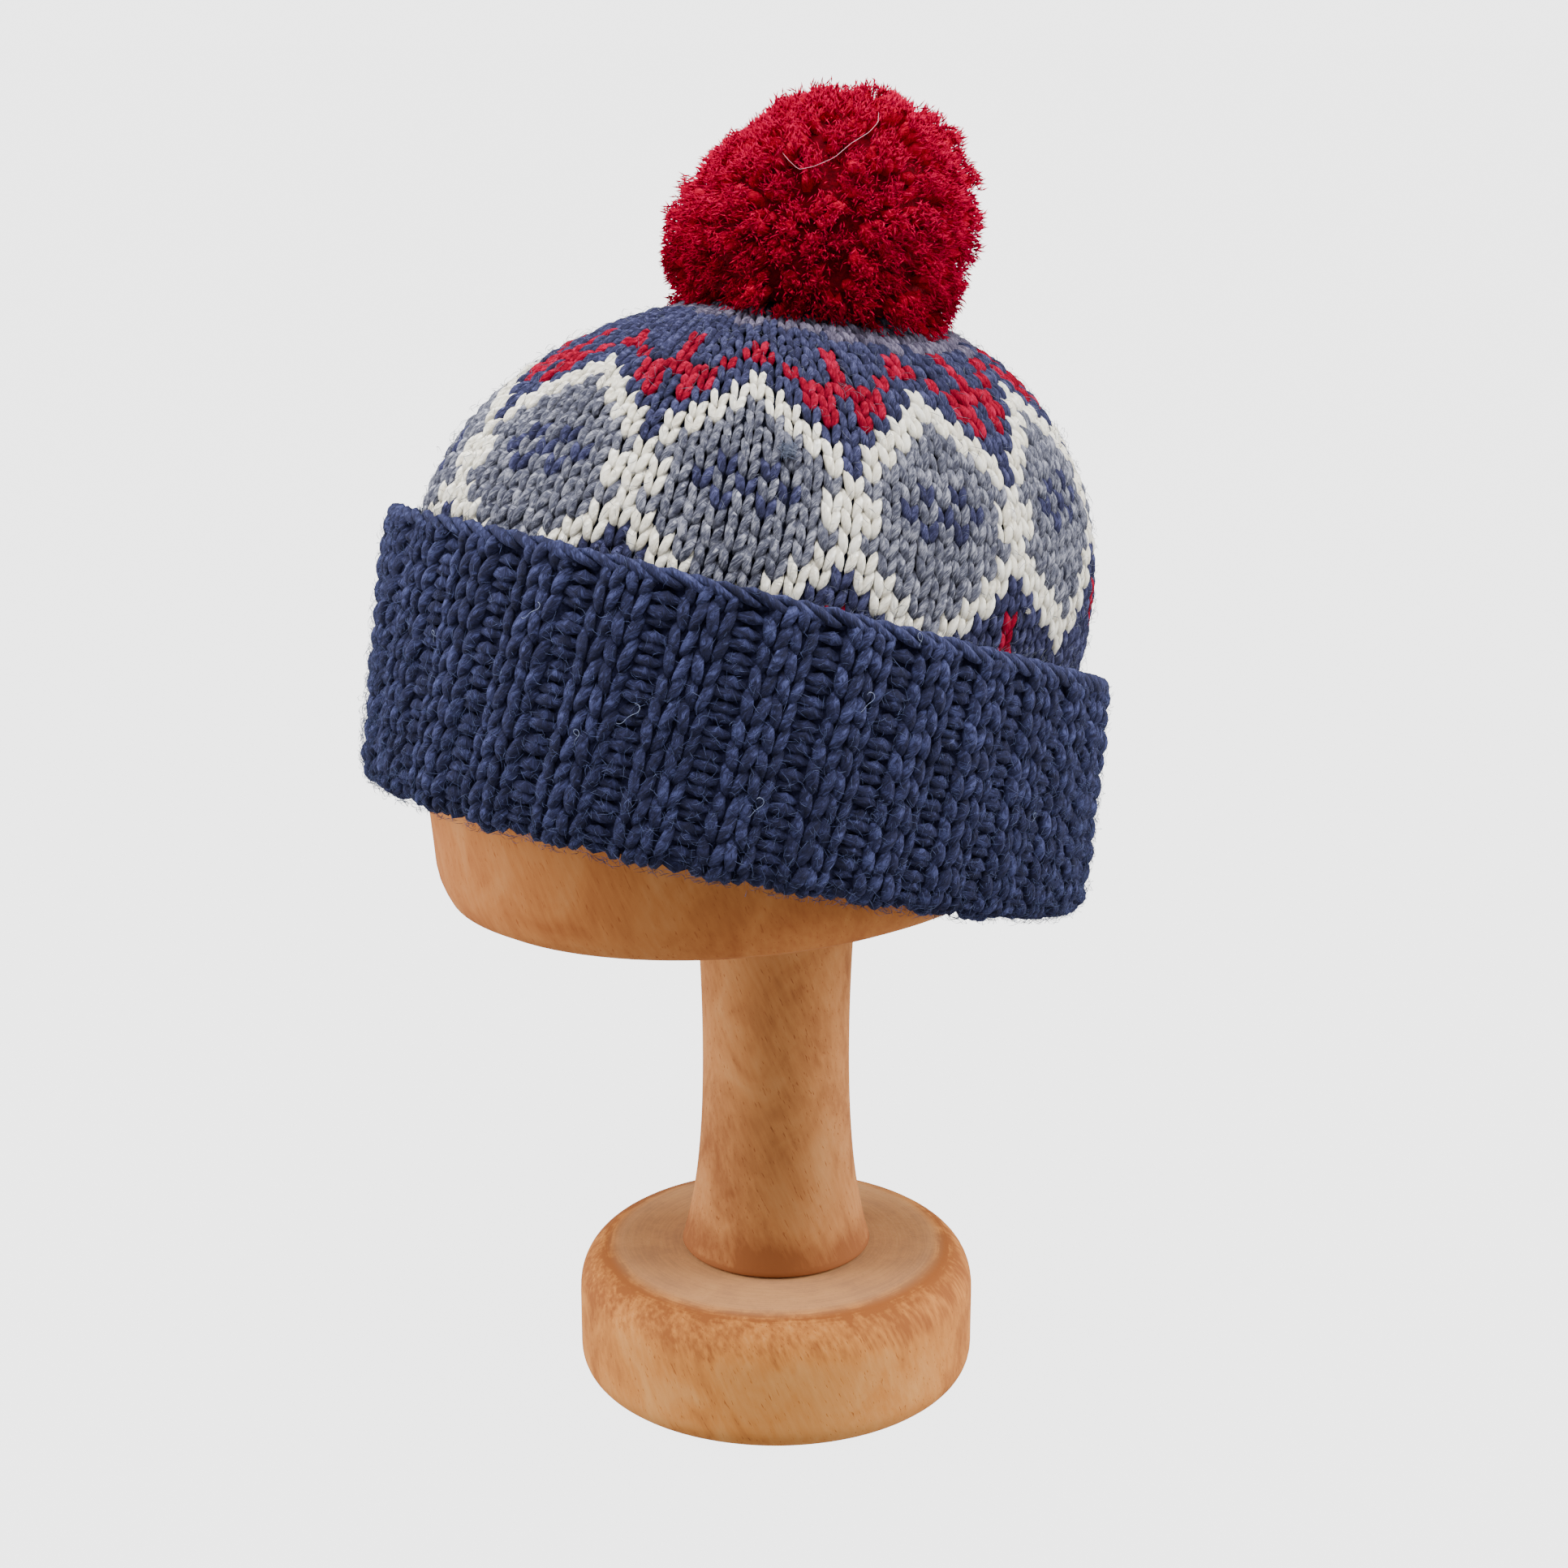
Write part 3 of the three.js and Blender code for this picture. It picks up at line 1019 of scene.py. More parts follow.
# The cuff's loose fibres are drawn lighter than its wool, partly for the pale fuzz itself and partly as
# painted light on the cuff's sides.
BLUE_FUZZ = YarnFinish(
    "blue_fuzz", srgb(42, 51, 88), srgb(78, 89, 134), srgb(126, 136, 172),
    marl=0.6, twist=0.2, sheen=0.2,
)
LOOSE_FIBRE = YarnFinish(
    "loose_fibre", srgb(170, 96, 116), srgb(206, 140, 154), srgb(228, 180, 188),
    marl=0.5, twist=0.2, sheen=0.3,
)
FLUFF_SPOT = YarnFinish(
    "fluff_spot", srgb(84, 92, 120), srgb(118, 128, 156), srgb(160, 168, 190),
    marl=0.5, twist=0.2, sheen=0.3,
)
# Painted shade: the crown's backing is its navy wool drawn darker, for the shade deep between the stitches.
CROWN_BACKING_SHADE = BackingFinish("crown_backing_shade", srgb(24, 27, 44))
CUFF_BACKING = BackingFinish("cuff_backing_wool", srgb(32, 34, 60))
# Painted shade: the pompom's core is its red yarn drawn much darker, for the shade deep between the yarn
# ends.
POMPOM_CORE_SHADE = BackingFinish("pompom_core_shade", srgb(110, 0, 20))
BLOCK_WOOD = WoodFinish("block_wood", srgb(174, 110, 60), srgb(188, 130, 80), srgb(152, 88, 46))
POST_WOOD = WoodFinish("post_wood", srgb(172, 114, 66), srgb(188, 134, 84), srgb(136, 82, 46), seam=44.0)
BASE_WOOD = WoodFinish(
    "base_wood", srgb(186, 120, 60), srgb(200, 142, 82), srgb(146, 86, 44), edge=StainedEdge()
)

YARN_FINISHES = {
    Yarn.IVORY: IVORY_WOOL,
    Yarn.MARL: MARL_WOOL,
    Yarn.NAVY: NAVY_WOOL,
    Yarn.RED: RED_WOOL,
    Yarn.LILAC: LILAC_WOOL,
}


def knit_leg(side: int, width: float, pitch: float) -> Strand:
    """One leg of a knit stitch, from the foot of its V up and out to its tip.

    Args:
        side: 1 for the right leg and -1 for the left one.
        width: Width of the stitch.
        pitch: Height from one row to the next.

    Returns:
        The leg, with x across, y up along the column and z out of the fabric.
    """

    def spine(share: Array) -> Array:
        """Middle of the yarn along its length."""
        x = side * width * (0.1 + 0.265 * np.sin(share * math.pi / 2) ** 1.1)
        y = pitch * (-0.14 + 2.02 * share)
        z = width * (0.2 + 0.13 * np.sin(math.pi * np.clip(share * 1.1, 0, 1)) - 0.34 * share**3)
        return np.stack([x, y, z], -1)

    def radius(share: Array) -> Array:
        """Radius of the yarn along its length."""
        swell = np.sin(math.pi * np.clip(0.06 + 0.86 * share, 0, 1)) ** 0.7
        return width * 0.245 * swell * (1.05 - 0.4 * share**2)

    return make_strand(spine, radius, 6, 7, 0.98)


@dataclass
class CrownKnit:
    """The crown's stockinette: its chart, its rows from the pole down, and its yarns.

    Attributes:
        form: The hat's sizes.
        repeats: Repeats of the pattern round the hat.
        columns_per_repeat: Stitches in a repeat.
        first_column: Column of the repeat that faces +x.
        pitch: Height from one row to the next.
        seventh_row: Distance of the chart's row 7 from the pole.
        narrowest: Least width of a stitch, below which a ring has fewer of them.
        stitch_width: Width of a stitch where the crown is widest.
        stitch_depth: Thickness that the stitches are drawn for.
        sink: How far the stitches' feet lie under the crown's skin.
        backing_sink: How far the shell behind them lies under it.
        hidden: Distance from the pole that the pompom covers.
        edge_margin: Least distance of a stitch from the crown's edge.
        lilac_reach: Least distance from the pole that the lilac top reaches.
        lilac_swell: How much further it reaches, halfway round, on its longer side.
        lilac_side: Angle of that side.
        lilac_step: How far every third stitch of its edge stands back.
    """

    form: HatForm
    repeats: int = 10
    columns_per_repeat: int = 10
    first_column: float = 2.3
    pitch: float = 4.94
    seventh_row: float = 123.8
    narrowest: float = 4.2
    rows_above: int = 20
    rows_below: int = 17
    stitch_width: float = 5.84
    stitch_depth: float = 5.6
    sink: float = 2.1
    backing_sink: float = 2.2
    hidden: float = 27.0
    edge_margin: float = 2.0
    lilac_reach: float = 37.0
    lilac_swell: float = 13.0
    lilac_side: float = math.radians(60)
    lilac_step: float = 2.5
    seed: int = 11

    def skin(self) -> Skin:
        """The crown's skin by distance from its pole, with its edge down inside the cuff.

        Returns:
            The skin.
        """
        angles = np.arange(400) / 400 * TAU
        turns = np.linspace(math.pi / 2, 0, 240)[:, None]
        upper = self.form.crown(turns, angles[None, :])
        deep = np.linspace(1.0, self.form.cuff_height - self.form.seat_height - 1.0, 14)[:, None]
        lower = self.form.crown(np.zeros_like(deep), angles[None, :], 0.0, deep)
        return Skin(np.concatenate([upper, lower]))

    @staticmethod
    def yarn(row: int, column: int) -> Yarn:
        """Yarn of one stitch by the pattern's chart.

        Args:
            row: Row of the chart, counted downwards.
            column: Column of the repeat. 0 is where two diamonds meet, and 5 is a diamond's middle.

        Returns:
            The stitch's yarn.
        """
        side = min(column % 10, 10 - column % 10)
        red = {0: (-6, -5, -4, -3), 1: (-3, -2, -1), 2: (-3, -2), 3: (-4,), 4: (-5,), 5: (-6,)}[side]
        upper = {0: (3, 7), 1: (1, 2), 2: (0, 1), 3: (-1, 0), 4: (-2, -1), 5: (-3, -2)}[side]
        lower = {0: (3, 7), 1: (7, 8), 2: (8, 9), 3: (9, 10), 4: (10, 11), 5: (11, 12)}[side]
        if upper[0] <= row <= upper[1] or lower[0] <= row <= lower[1] or (side == 1 and row in (4, 5)):
            return Yarn.IVORY
        if row < upper[0]:
            return Yarn.RED if row in red else Yarn.NAVY
        if row > lower[1]:
            return Yarn.RED if side == 0 and 10 <= row <= 12 else Yarn.NAVY
        if (side, row) in ((4, 3), (3, 4), (5, 4), (4, 5)):
            return Yarn.NAVY
        return Yarn.MARL

    def build(self) -> list[Piece]:
        """Knits the crown and lays its backing under the stitches.

        Returns:
            The backing and one piece for each yarn.
        """
        skin = self.skin()
        chance = np.random.default_rng(self.seed)
        stamped = {yarn: Stamped() for yarn in Yarn}
        placed: dict[Yarn, list[tuple[float, float, float]]] = {yarn: [] for yarn in Yarn}
        around = np.arange(200) / 200 * TAU
        for row in range(-self.rows_above, self.rows_below):
            distance = self.seventh_row - (7 - row) * self.pitch
            if distance < self.hidden:
                continue
            ring = skin.read(skin.metric, np.full_like(around, distance), around).mean() * TAU
            per_repeat = min(self.columns_per_repeat, max(2, round(ring / self.narrowest / self.repeats)))
            count = per_repeat * self.repeats
            for index in range(count):
                column = index * self.columns_per_repeat / per_repeat
                angle = (column + self.first_column) / (self.columns_per_repeat * self.repeats) * TAU
                if distance > skin.reach_at(np.array(angle)) - self.edge_margin:
                    continue
                yarn = self.yarn(row, round(column))
                edge = self.lilac_reach + self.lilac_swell * (1 + math.cos(angle - self.lilac_side))
                edge -= self.lilac_step if index % 3 == 0 else 0.0
                placed[Yarn.LILAC if distance < edge else yarn].append((distance, angle, TAU / count))
        for yarn, stitches in placed.items():
            if not stitches:
                continue
            table = np.array(stitches)
            for side in (-1, 1):
                self.stamp(skin, stamped[yarn], knit_leg(side, 1.0, 1.0), table, chance)
        pieces = [self.backing(skin)]
        for yarn in Yarn:
            if stamped[yarn].count:
                piece = stamped[yarn].piece(f"crown_stitches_{yarn.value}")
                pieces.append(settle(piece, "crown_wool", YARN_FINISHES[yarn]))
        return pieces

    def stamp(self, skin: Skin, target: Stamped, leg: Strand, table: Array, chance: Chance) -> None:
        """Lays one leg of each stitch in a table on the skin.

        Args:
            skin: The surface that carries the stitches.
            target: The joined strands that it adds to.
            leg: The leg, drawn for a stitch one millimetre wide and high.
            table: One row for each stitch: distance from the pole, angle, and angle to its neighbour.
            chance: Source of the small differences between stitches.
        """
        distance, angle, spacing = table.T
        metric = skin.read(skin.metric, distance, angle)
        width = np.maximum(metric * spacing, 0.86 * self.stitch_width)
        width = width * chance.uniform(0.94, 1.08, len(table))
        pitch = self.pitch * chance.uniform(0.95, 1.06, len(table))
        swell = chance.uniform(0.93, 1.1, len(table))
        x = leg.points[None, :, 0] * width[:, None] + chance.normal(0, 0.18, len(table))[:, None]
        y = leg.points[None, :, 1] * pitch[:, None] + chance.normal(0, 0.2, len(table))[:, None]
        z = leg.points[None, :, 2] * self.stitch_depth * swell[:, None]
        z = z + chance.normal(0, 0.22, len(table))[:, None]
        points = skin.at(distance[:, None] - y, angle[:, None] + x / metric[:, None], z - self.sink)
        target.add(leg, points, chance.uniform(0, 1, len(table)), length=11.0, turns=1.6)

    def backing(self, skin: Skin) -> Piece:
        """The shell behind the stitches, with the crown's real inner face and edge.

        Args:
            skin: The crown's skin.

        Returns:
            The piece.
        """
        angles = np.arange(100) / 100 * TAU
        reach = skin.reach_at(angles)
        near = [np.full_like(reach, distance) for distance in np.arange(6.0, 96.0, 6.0)]
        far = [share * reach for share in np.linspace(0.72, 1.0, 10)]
        places = [np.minimum(distance, reach - 0.5) for distance in near + far]
        outer = [skin.at(place, angles, -self.backing_sink) for place in places]
        inner = [skin.at(place, angles, 0.4 - self.form.knit_layer) for place in places[::-1]]
        piece = shell_piece("crown_backing", [*outer, *inner], closed_ends=True)
        return settle(piece, "crown_wool", CROWN_BACKING_SHADE, "crown")


def shell_piece(name: str, rings: list[Array], closed_ends: bool, loop: bool = False) -> Piece:
    """Bridges rings of points, in order, into one smooth closed surface.

    Args:
        name: Name of the piece.
        rings: Rings of as many points each, in millimetres.
        closed_ends: True to fill the first and the last ring.
        loop: True to bridge the last ring to the first.

    Returns:
        The piece, with its faces pointing out.
    """
    shape = bmesh.new()
    made = []
    for ring in rings:
        circle = bmesh.ops.create_circle(shape, cap_ends=False, radius=1.0, segments=len(ring))
        for vert, point in zip(circle["verts"], ring):
            vert.co = Vector(point * MM)
        made.append(list({e for v in circle["verts"] for e in v.link_edges}))
    pairs = list(zip(made[:-1], made[1:])) + ([(made[-1], made[0])] if loop else [])
    for first, second in pairs:
        bmesh.ops.bridge_loops(shape, edges=first + second)
    if closed_ends:
        bmesh.ops.edgeloop_fill(shape, edges=made[0])
        bmesh.ops.edgeloop_fill(shape, edges=made[-1])
    bmesh.ops.recalc_face_normals(shape, faces=shape.faces[:])
    return smooth_piece(name, shape)


@dataclass
class CuffKnit:
    """The folded cuff: ribs of two knit columns and one purl column, with a rope-like cast-on edge.

    Attributes:
        form: The hat's sizes.
        ribs: Ribs round the cuff.
        rib_depth: Depth of the valleys between them.
        first_valley: Angle of the first valley at the twist height.
        twist: How far the ribs lean, as an angle for each millimetre up.
        twist_height: Height where they haven't leaned yet.
        row_pitch: Height from one row to the next.
        first_row: Distance of the first row from the rim's inner edge.
        last_row: Distance that the rows stay under.
        knit_columns: Places of a rib's knit columns as shares of its width.
        stitch_width: Width of a knit stitch.
        rib_width: Width of a rib.
        cover: How far the knit columns' feet lie under the cuff's skin.
        purl_cover: How far the purl columns lie under the valleys.
        rope_cover: How far the cast-on edge lies under the skin.
        backing_cover: How far the shell behind them lies under it.
        end_margin: Least distance of a stitch from the cuff's edges.
        section: Points of the cuff's outline from the rim's inner edge, over the rim, down, round the
            fold and up inside, as shares of its thickness and its height.
    """

    form: HatForm
    ribs: int = 30
    rib_depth: float = 2.4
    first_valley: float = math.radians(3.7)
    twist: float = math.radians(0.098)
    twist_height: float = 27.0
    row_pitch: float = 6.4
    first_row: float = 15.0
    last_row: float = 108.0
    knit_columns: tuple[float, float] = (0.328, 0.672)
    stitch_width: float = 7.9
    rib_width: float = 21.8
    cover: float = 2.9
    purl_cover: float = 1.1
    rope_cover: float = 1.8
    backing_cover: float = 2.1
    end_margin: float = 1.5
    seed: int = 23
    section: tuple = (
        (0.45, 0.93), (0.55, 0.975), (0.72, 1.0), (0.87, 0.99), (0.97, 0.94), (1.0, 0.86), (1.02, 0.48),
        (1.0, 0.1), (0.95, 0.055), (0.85, 0.025), (0.68, 0.004), (0.5, 0.0), (0.32, 0.006), (0.15, 0.03),
        (0.04, 0.07), (0.0, 0.13), (0.0, 0.3),
    )

    def skin(self) -> Skin:
        """The cuff's outside by distance from the inner edge of its rim, round the fold and up inside.

        Returns:
            The skin.
        """
        angles = np.arange(360) / 360 * TAU
        out, up = np.array(self.section).T
        place = np.arange(len(out))
        fine = np.linspace(0, len(out) - 1, 16 * (len(out) - 1) + 1)
        kernel = np.ones(17) / 17

        def smooth(values: Array) -> Array:
            """Values of the outline, drawn fine and rounded off."""
            spread = np.pad(np.interp(fine, place, values), 8, mode="edge")
            return np.convolve(spread, kernel, mode="valid")

        offset = smooth(out)[:, None] * self.form.cuff_thickness
        height = smooth(up)[:, None] * self.form.cuff_height
        around = self.form.even(angles)[None, :]
        return Skin(
            self.form.place(height, self.form.half_length + offset, self.form.half_width + offset, around)
        )

    def angle(self, place: Array, distance: Array) -> Array:
        """Angle of a place across the ribs at a distance down from the rim.

        Args:
            place: Ribs counted from the first valley, with shares between two valleys.
            distance: Distance along the cuff from the rim's inner edge.

        Returns:
            The angle round the hat.
        """
        height = self.form.cuff_height + 3.0 - distance
        return self.first_valley + place * TAU / self.ribs + self.twist * (height - self.twist_height)

    def build(self) -> list[Piece]:
        """Knits the cuff and lays its backing under the stitches.

        Returns:
            The backing, the columns and the cast-on edge.
        """
        skin = self.skin()
        chance = np.random.default_rng(self.seed)
        knit, purl, rim = Stamped(), Stamped(), Stamped()
        rows = np.arange(self.first_row, self.last_row, self.row_pitch)
        for side in (-1, 1):
            for middle in self.knit_columns:
                self.legs(skin, knit, side, middle, rows, chance)
        self.bumps(skin, purl, rows, chance)
        self.rope(skin, rim, chance)
        pieces = [self.backing(skin)]
        for strands, name in ((knit, "knit_columns"), (purl, "purl_columns"), (rim, "cast_on_edge")):
            pieces.append(settle(strands.piece(f"cuff_{name}"), "cuff_wool", CUFF_WOOL))
        return pieces

    def legs(
        self, skin: Skin, target: Stamped, side: int, middle: float, rows: Array, chance: Chance
    ) -> None:
        """Lays the legs on one side of one knit column of every rib.

        Args:
            skin: The surface that carries them.
            target: The joined strands that it adds to.
            side: 1 for the right legs and -1 for the left ones.
            middle: Place of the column in the rib.
            rows: Distances of the rows.
            chance: Source of small differences.
        """
        leg = self.leg(side)
        rib, distance = (a.ravel() for a in np.meshgrid(np.arange(self.ribs), rows, indexing="ij"))
        count = len(rib)
        distance = distance + chance.normal(0, 0.35, count) + 0.9 * np.sin(rib * 2.4)
        width = self.stitch_width * chance.uniform(0.95, 1.07, count)
        x = leg.points[None, :, 0] * width[:, None] + chance.normal(0, 0.25, count)[:, None]
        y = leg.points[None, :, 1] * self.row_pitch * chance.uniform(0.95, 1.08, count)[:, None]
        z = leg.points[None, :, 2] * chance.uniform(0.92, 1.1, count)[:, None]
        along = np.clip(distance[:, None] - y, self.end_margin, skin.reach.min() - self.end_margin)
        angle = self.angle(rib[:, None] + middle, along)
        angle = angle + x / skin.read(skin.metric, along, angle)
        away = np.abs(leg.points[None, :, 0] * width[:, None] + (middle - 0.5) * self.rib_width)
        sink = self.rib_depth * np.clip((away - 3.4) / 5.0, 0, 1.2) ** 2
        out = z + chance.normal(0, 0.25, count)[:, None] - sink - self.cover
        target.add(leg, skin.at(along, angle, out), chance.uniform(0, 1, count), length=11.0, turns=1.5)

    @staticmethod
    def leg(side: int) -> Strand:
        """One leg of a rib stitch, one millimetre wide and high except for its thickness.

        Args:
            side: 1 for the right leg and -1 for the left one.

        Returns:
            The leg.
        """

        def spine(share: Array) -> Array:
            """Middle of the yarn along its length."""
            x = side * (0.105 + 0.235 * np.sin(share * math.pi / 2))
            y = -0.16 + 1.8 * share
            z = 0.9 + 1.1 * np.sin(math.pi * np.clip(share * 1.08, 0, 1)) - 1.7 * share**3
            return np.stack([x, y, z], -1)

        strand = make_strand(spine, bare, 6, 7)
        swell = np.sin(math.pi * np.clip(0.06 + 0.88 * strand.along, 0, 1)) ** 0.7
        swell = swell * (1.03 - 0.32 * strand.along**2)
        ring = (np.abs(strand.along - 0.5) < 0.499) * swell
        strand.points[:, 0] += 0.235 * ring * np.cos(strand.around)
        strand.points[:, 2] += 1.75 * ring * np.sin(strand.around)
        return strand

    def bumps(self, skin: Skin, target: Stamped, rows: Array, chance: Chance) -> None:
        """Lays the short purl bumps that lie across the valleys, two to a row.

        Args:
            skin: The surface that carries them.
            target: The joined strands that it adds to.
            rows: Distances of the rows.
            chance: Source of small differences.
        """

        def spine(share: Array) -> Array:
            """Middle of the yarn along its length."""
            x = -0.5 + share
            return np.stack([x, 0.55 * np.sin(math.pi * share), 0.9 * np.sin(math.pi * share)], -1)

        bump = make_strand(spine, plump, 5, 6)
        middle = spine(bump.along)
        places = np.arange(rows[0], rows[-1], self.row_pitch / 2)
        rib, distance = (a.ravel() for a in np.meshgrid(np.arange(self.ribs), places, indexing="ij"))
        count = len(rib)
        flip = np.where(np.arange(count) % 2, -1.0, 1.0)[:, None]
        thick = chance.uniform(1.85, 2.35, count)[:, None]
        ring = bump.points - middle
        x = middle[None, :, 0] * chance.uniform(9.6, 11.2, count)[:, None] + 0.35 * ring[None, :, 0]
        y = flip * middle[None, :, 1] + thick * ring[None, :, 1] + chance.normal(0, 0.2, count)[:, None]
        z = middle[None, :, 2] + 1.1 * thick * ring[None, :, 2] + chance.normal(0, 0.25, count)[:, None]
        along = np.clip(distance[:, None] - y, self.end_margin, skin.reach.min() - self.end_margin)
        angle = self.angle(rib[:, None], along)
        angle = angle + x / skin.read(skin.metric, along, angle)
        out = z - self.rib_depth - self.purl_cover
        target.add(bump, skin.at(along, angle, out), chance.uniform(0, 0.6, count), length=8.0, turns=1.0)

    def rope(self, skin: Skin, target: Stamped, chance: Chance) -> None:
        """Lays the slanted strands of the cast-on edge round the rim.

        Args:
            skin: The surface that carries them.
            target: The joined strands that it adds to.
            chance: Source of small differences.
        """

        def spine(share: Array) -> Array:
            """Middle of the yarn along its length."""
            x = -0.5 + share
            y = 0.5 * np.cos(math.pi * share)
            return np.stack([x, y, 0.25 * np.sin(math.pi * share)], -1)

        strand = make_strand(spine, plump, 8, 10)
        middle = spine(strand.along)
        ring = strand.points - middle
        count = self.ribs * 3
        place = (np.arange(count) + chance.uniform(-0.18, 0.18, count)) / count * TAU
        thick = chance.uniform(1.9, 2.35, count)[:, None]
        x = middle[None, :, 0] * chance.uniform(15.0, 19.0, count)[:, None] + thick * ring[None, :, 0]
        y = middle[None, :, 1] * 6.2 + thick * ring[None, :, 1]
        z = middle[None, :, 2] * 2.0 + thick * ring[None, :, 2]
        along = np.clip(7.6 - y, 0.2, 20)
        angle = place[:, None] + x / 92.0
        points = skin.at(along, angle, z - self.rope_cover)
        target.add(strand, points, chance.uniform(0.0, 0.8, count), length=16.0, turns=2.5)

    def backing(self, skin: Skin) -> Piece:
        """The shell that carries the stitches, ribbed like them, with the cuff's inner face.

        Args:
            skin: The cuff's skin.

        Returns:
            The piece.
        """
        count = self.ribs * 8
        place = np.arange(count) / 8.0
        places = np.concatenate(
            [np.linspace(2.0, 10.0, 5), np.linspace(18.0, 66.0, 7), np.linspace(74.0, 104.0, 12)]
        )
        last = skin.reach.min() - self.end_margin

        def outer(distance: float) -> Array:
            """A ring of the outside, ribbed."""
            angle = self.angle(place, np.full(count, distance))
            sink = self.rib_depth * np.clip(1 - 5.2 * np.abs(np.mod(place + 0.5, 1) - 0.5), 0, 1)
            return skin.at(np.full(count, min(distance, last)), angle, -self.backing_cover - 0.8 * sink)

        rings = [outer(distance) for distance in places if distance < last - 0.5]
        angles = self.form.even(self.angle(place, np.full(count, 40.0)))
        for height in (0.34, 0.5, 0.68, 0.84, 0.93):
            lift = 0.4 + (2.4 if height > 0.9 else 0.0)
            rings.append(
                self.form.place(
                    np.full(count, height * self.form.cuff_height),
                    self.form.half_length + lift,
                    self.form.half_width + lift,
                    angles,
                )
            )
        piece = shell_piece("cuff_backing", rings, closed_ends=False, loop=True)
        return settle(piece, "cuff_wool", CUFF_BACKING, "cuff")


@dataclass
class Pompom:
    """The pompom: ends of cut yarn standing out of a round core, trimmed flatter on one side.

    Attributes:
        form: The hat's sizes.
        ground: The crown's skin, which it sits on.
        length: Its size along the hat.
        width: Its size across the hat.
        height: Its size up the hat.
        squareness: Power of its rounding, 2 for a ball and more for a fuller shape.
        trim: Distance of its trimmed side from its centre.
        trim_side: Direction of that side in the hat's frame.
        rise: Height of its centre above the crown's top.
        forward: How far its centre lies along y from the crown's top.
        aside: How far its centre lies along x.
        tufts: Ends of yarn in a whole pompom.
        clumps: Clumps that they gather in.
        clump_size: Angle from a clump's middle to its edge.
        clump_pull: How far the ends lean to that middle, as a share.
        tuck: How far the ends may press into the crown's skin.
        shortest: Least reach of an end that is kept.
        core_share: Size of the core as a share of the pompom's.
        core_gap: Gap between the core and the crown's skin.
        fibres: Fine fibres for each end.
    """

    form: HatForm
    ground: Skin
    length: float = 87.0
    width: float = 86.0
    height: float = 80.0
    squareness: float = 3.2
    trim: float = 36.0
    trim_side: tuple[float, float, float] = (-0.4, -0.665, 0.63)
    rise: float = 15.0
    forward: float = -28.6
    aside: float = 0.7
    tufts: int = 1350
    clumps: int = 250
    clump_size: float = 0.125
    clump_pull: float = 0.3
    tuck: float = 0.8
    shortest: float = 22.0
    core_share: float = 0.81
    core_gap: float = 0.4
    fibres: int = 25
    seed: int = 5

    def reach(self, directions: Array) -> Array:
        """Distance from the centre to the pompom's outside along directions in the hat's frame.

        Args:
            directions: Unit vectors from the centre in the hat's frame.

        Returns:
            One distance for each.
        """
        across = 2 * np.hypot(directions[..., 0] / self.width, directions[..., 1] / self.length)
        share = across**self.squareness + np.abs(2 * directions[..., 2] / self.height) ** self.squareness
        facing = np.maximum(directions @ np.array(self.trim_side), 0.05)
        round_reach, cut_reach = share ** (-1 / self.squareness), self.trim / facing
        return (round_reach**-12 + cut_reach**-12) ** (-1 / 12)

    def world(self, points: Array) -> Array:
        """Points round the centre in the hat's frame, placed in the row's frame.

        Args:
            points: Points from the centre.

        Returns:
            The placed points.
        """
        centre = float(self.form.lean(np.array(self.form.hat_height))) + self.forward
        height = points[..., 2] + self.form.hat_height + self.rise
        return self.form.seated(points[..., 0] + self.aside, points[..., 1] + centre, height)

    def clear(self, directions: Array, reach: Array, gap: float) -> Array:
        """Shortens reaches that would run into the crown, to leave a gap above it.

        Args:
            directions: Unit vectors from the centre in the hat's frame.
            reach: Distance along each.
            gap: Gap above the crown's skin.

        Returns:
            The shortened distances.
        """
        shares = np.linspace(0.15, 1.0, 35)
        points = self.world(directions[:, None, :] * (reach[:, None] * shares)[..., None])
        free = self.ground.depth(points) > gap
        free = np.logical_and.accumulate(free, axis=1)
        return reach * shares[np.maximum(free.sum(1) - 1, 0)] * (free.sum(1) > 0)

    def build(self) -> list[Piece]:
        """Makes the core, the yarn ends and their fibres.

        Returns:
            The three pieces.
        """
        chance = np.random.default_rng(self.seed)
        directions = self.spread(self.tufts, 0.022, chance)
        heads = self.spread(self.clumps, 0.04, chance)
        nearest = np.argmax(directions @ heads.T, axis=1)
        clump = heads[nearest]
        apart = np.arccos(np.clip((directions * clump).sum(1), -1, 1)) / self.clump_size
        height = chance.normal(0.985, 0.022, self.clumps)[nearest] - 0.04 * np.minimum(apart, 1.2) ** 2
        reach = self.reach(directions) * (height + chance.normal(0, 0.015, self.tufts))
        directions = unit(directions + self.clump_pull * (clump - directions))
        reach = self.clear(directions, reach, -self.tuck)
        keep = reach > self.shortest
        directions, reach, clump = directions[keep], reach[keep], clump[keep]
        core = self.core()
        ends = self.ends(directions, reach, chance).piece("pompom_yarn_ends")
        settle(ends, "pompom_wool", POMPOM_WOOL)
        fluff = self.fluff(directions, reach, clump, chance).piece("pompom_fibres")
        return [core, ends, settle(fluff, "pompom_wool", POMPOM_FLUFF)]

    @staticmethod
    def spread(count: int, shake: float, chance: Chance) -> Array:
        """Directions spread evenly over a ball and shaken a little.

        Args:
            count: Number of directions.
            shake: How far each is moved.
            chance: Source of small differences.

        Returns:
            The unit vectors.
        """
        order = np.arange(count) + 0.5
        level = 1 - 2 * order / count
        turn = order * math.pi * (3 - math.sqrt(5))
        flat = np.sqrt(1 - level**2)
        directions = np.stack([flat * np.cos(turn), flat * np.sin(turn), level], -1)
        return unit(directions + chance.normal(0, shake, directions.shape))

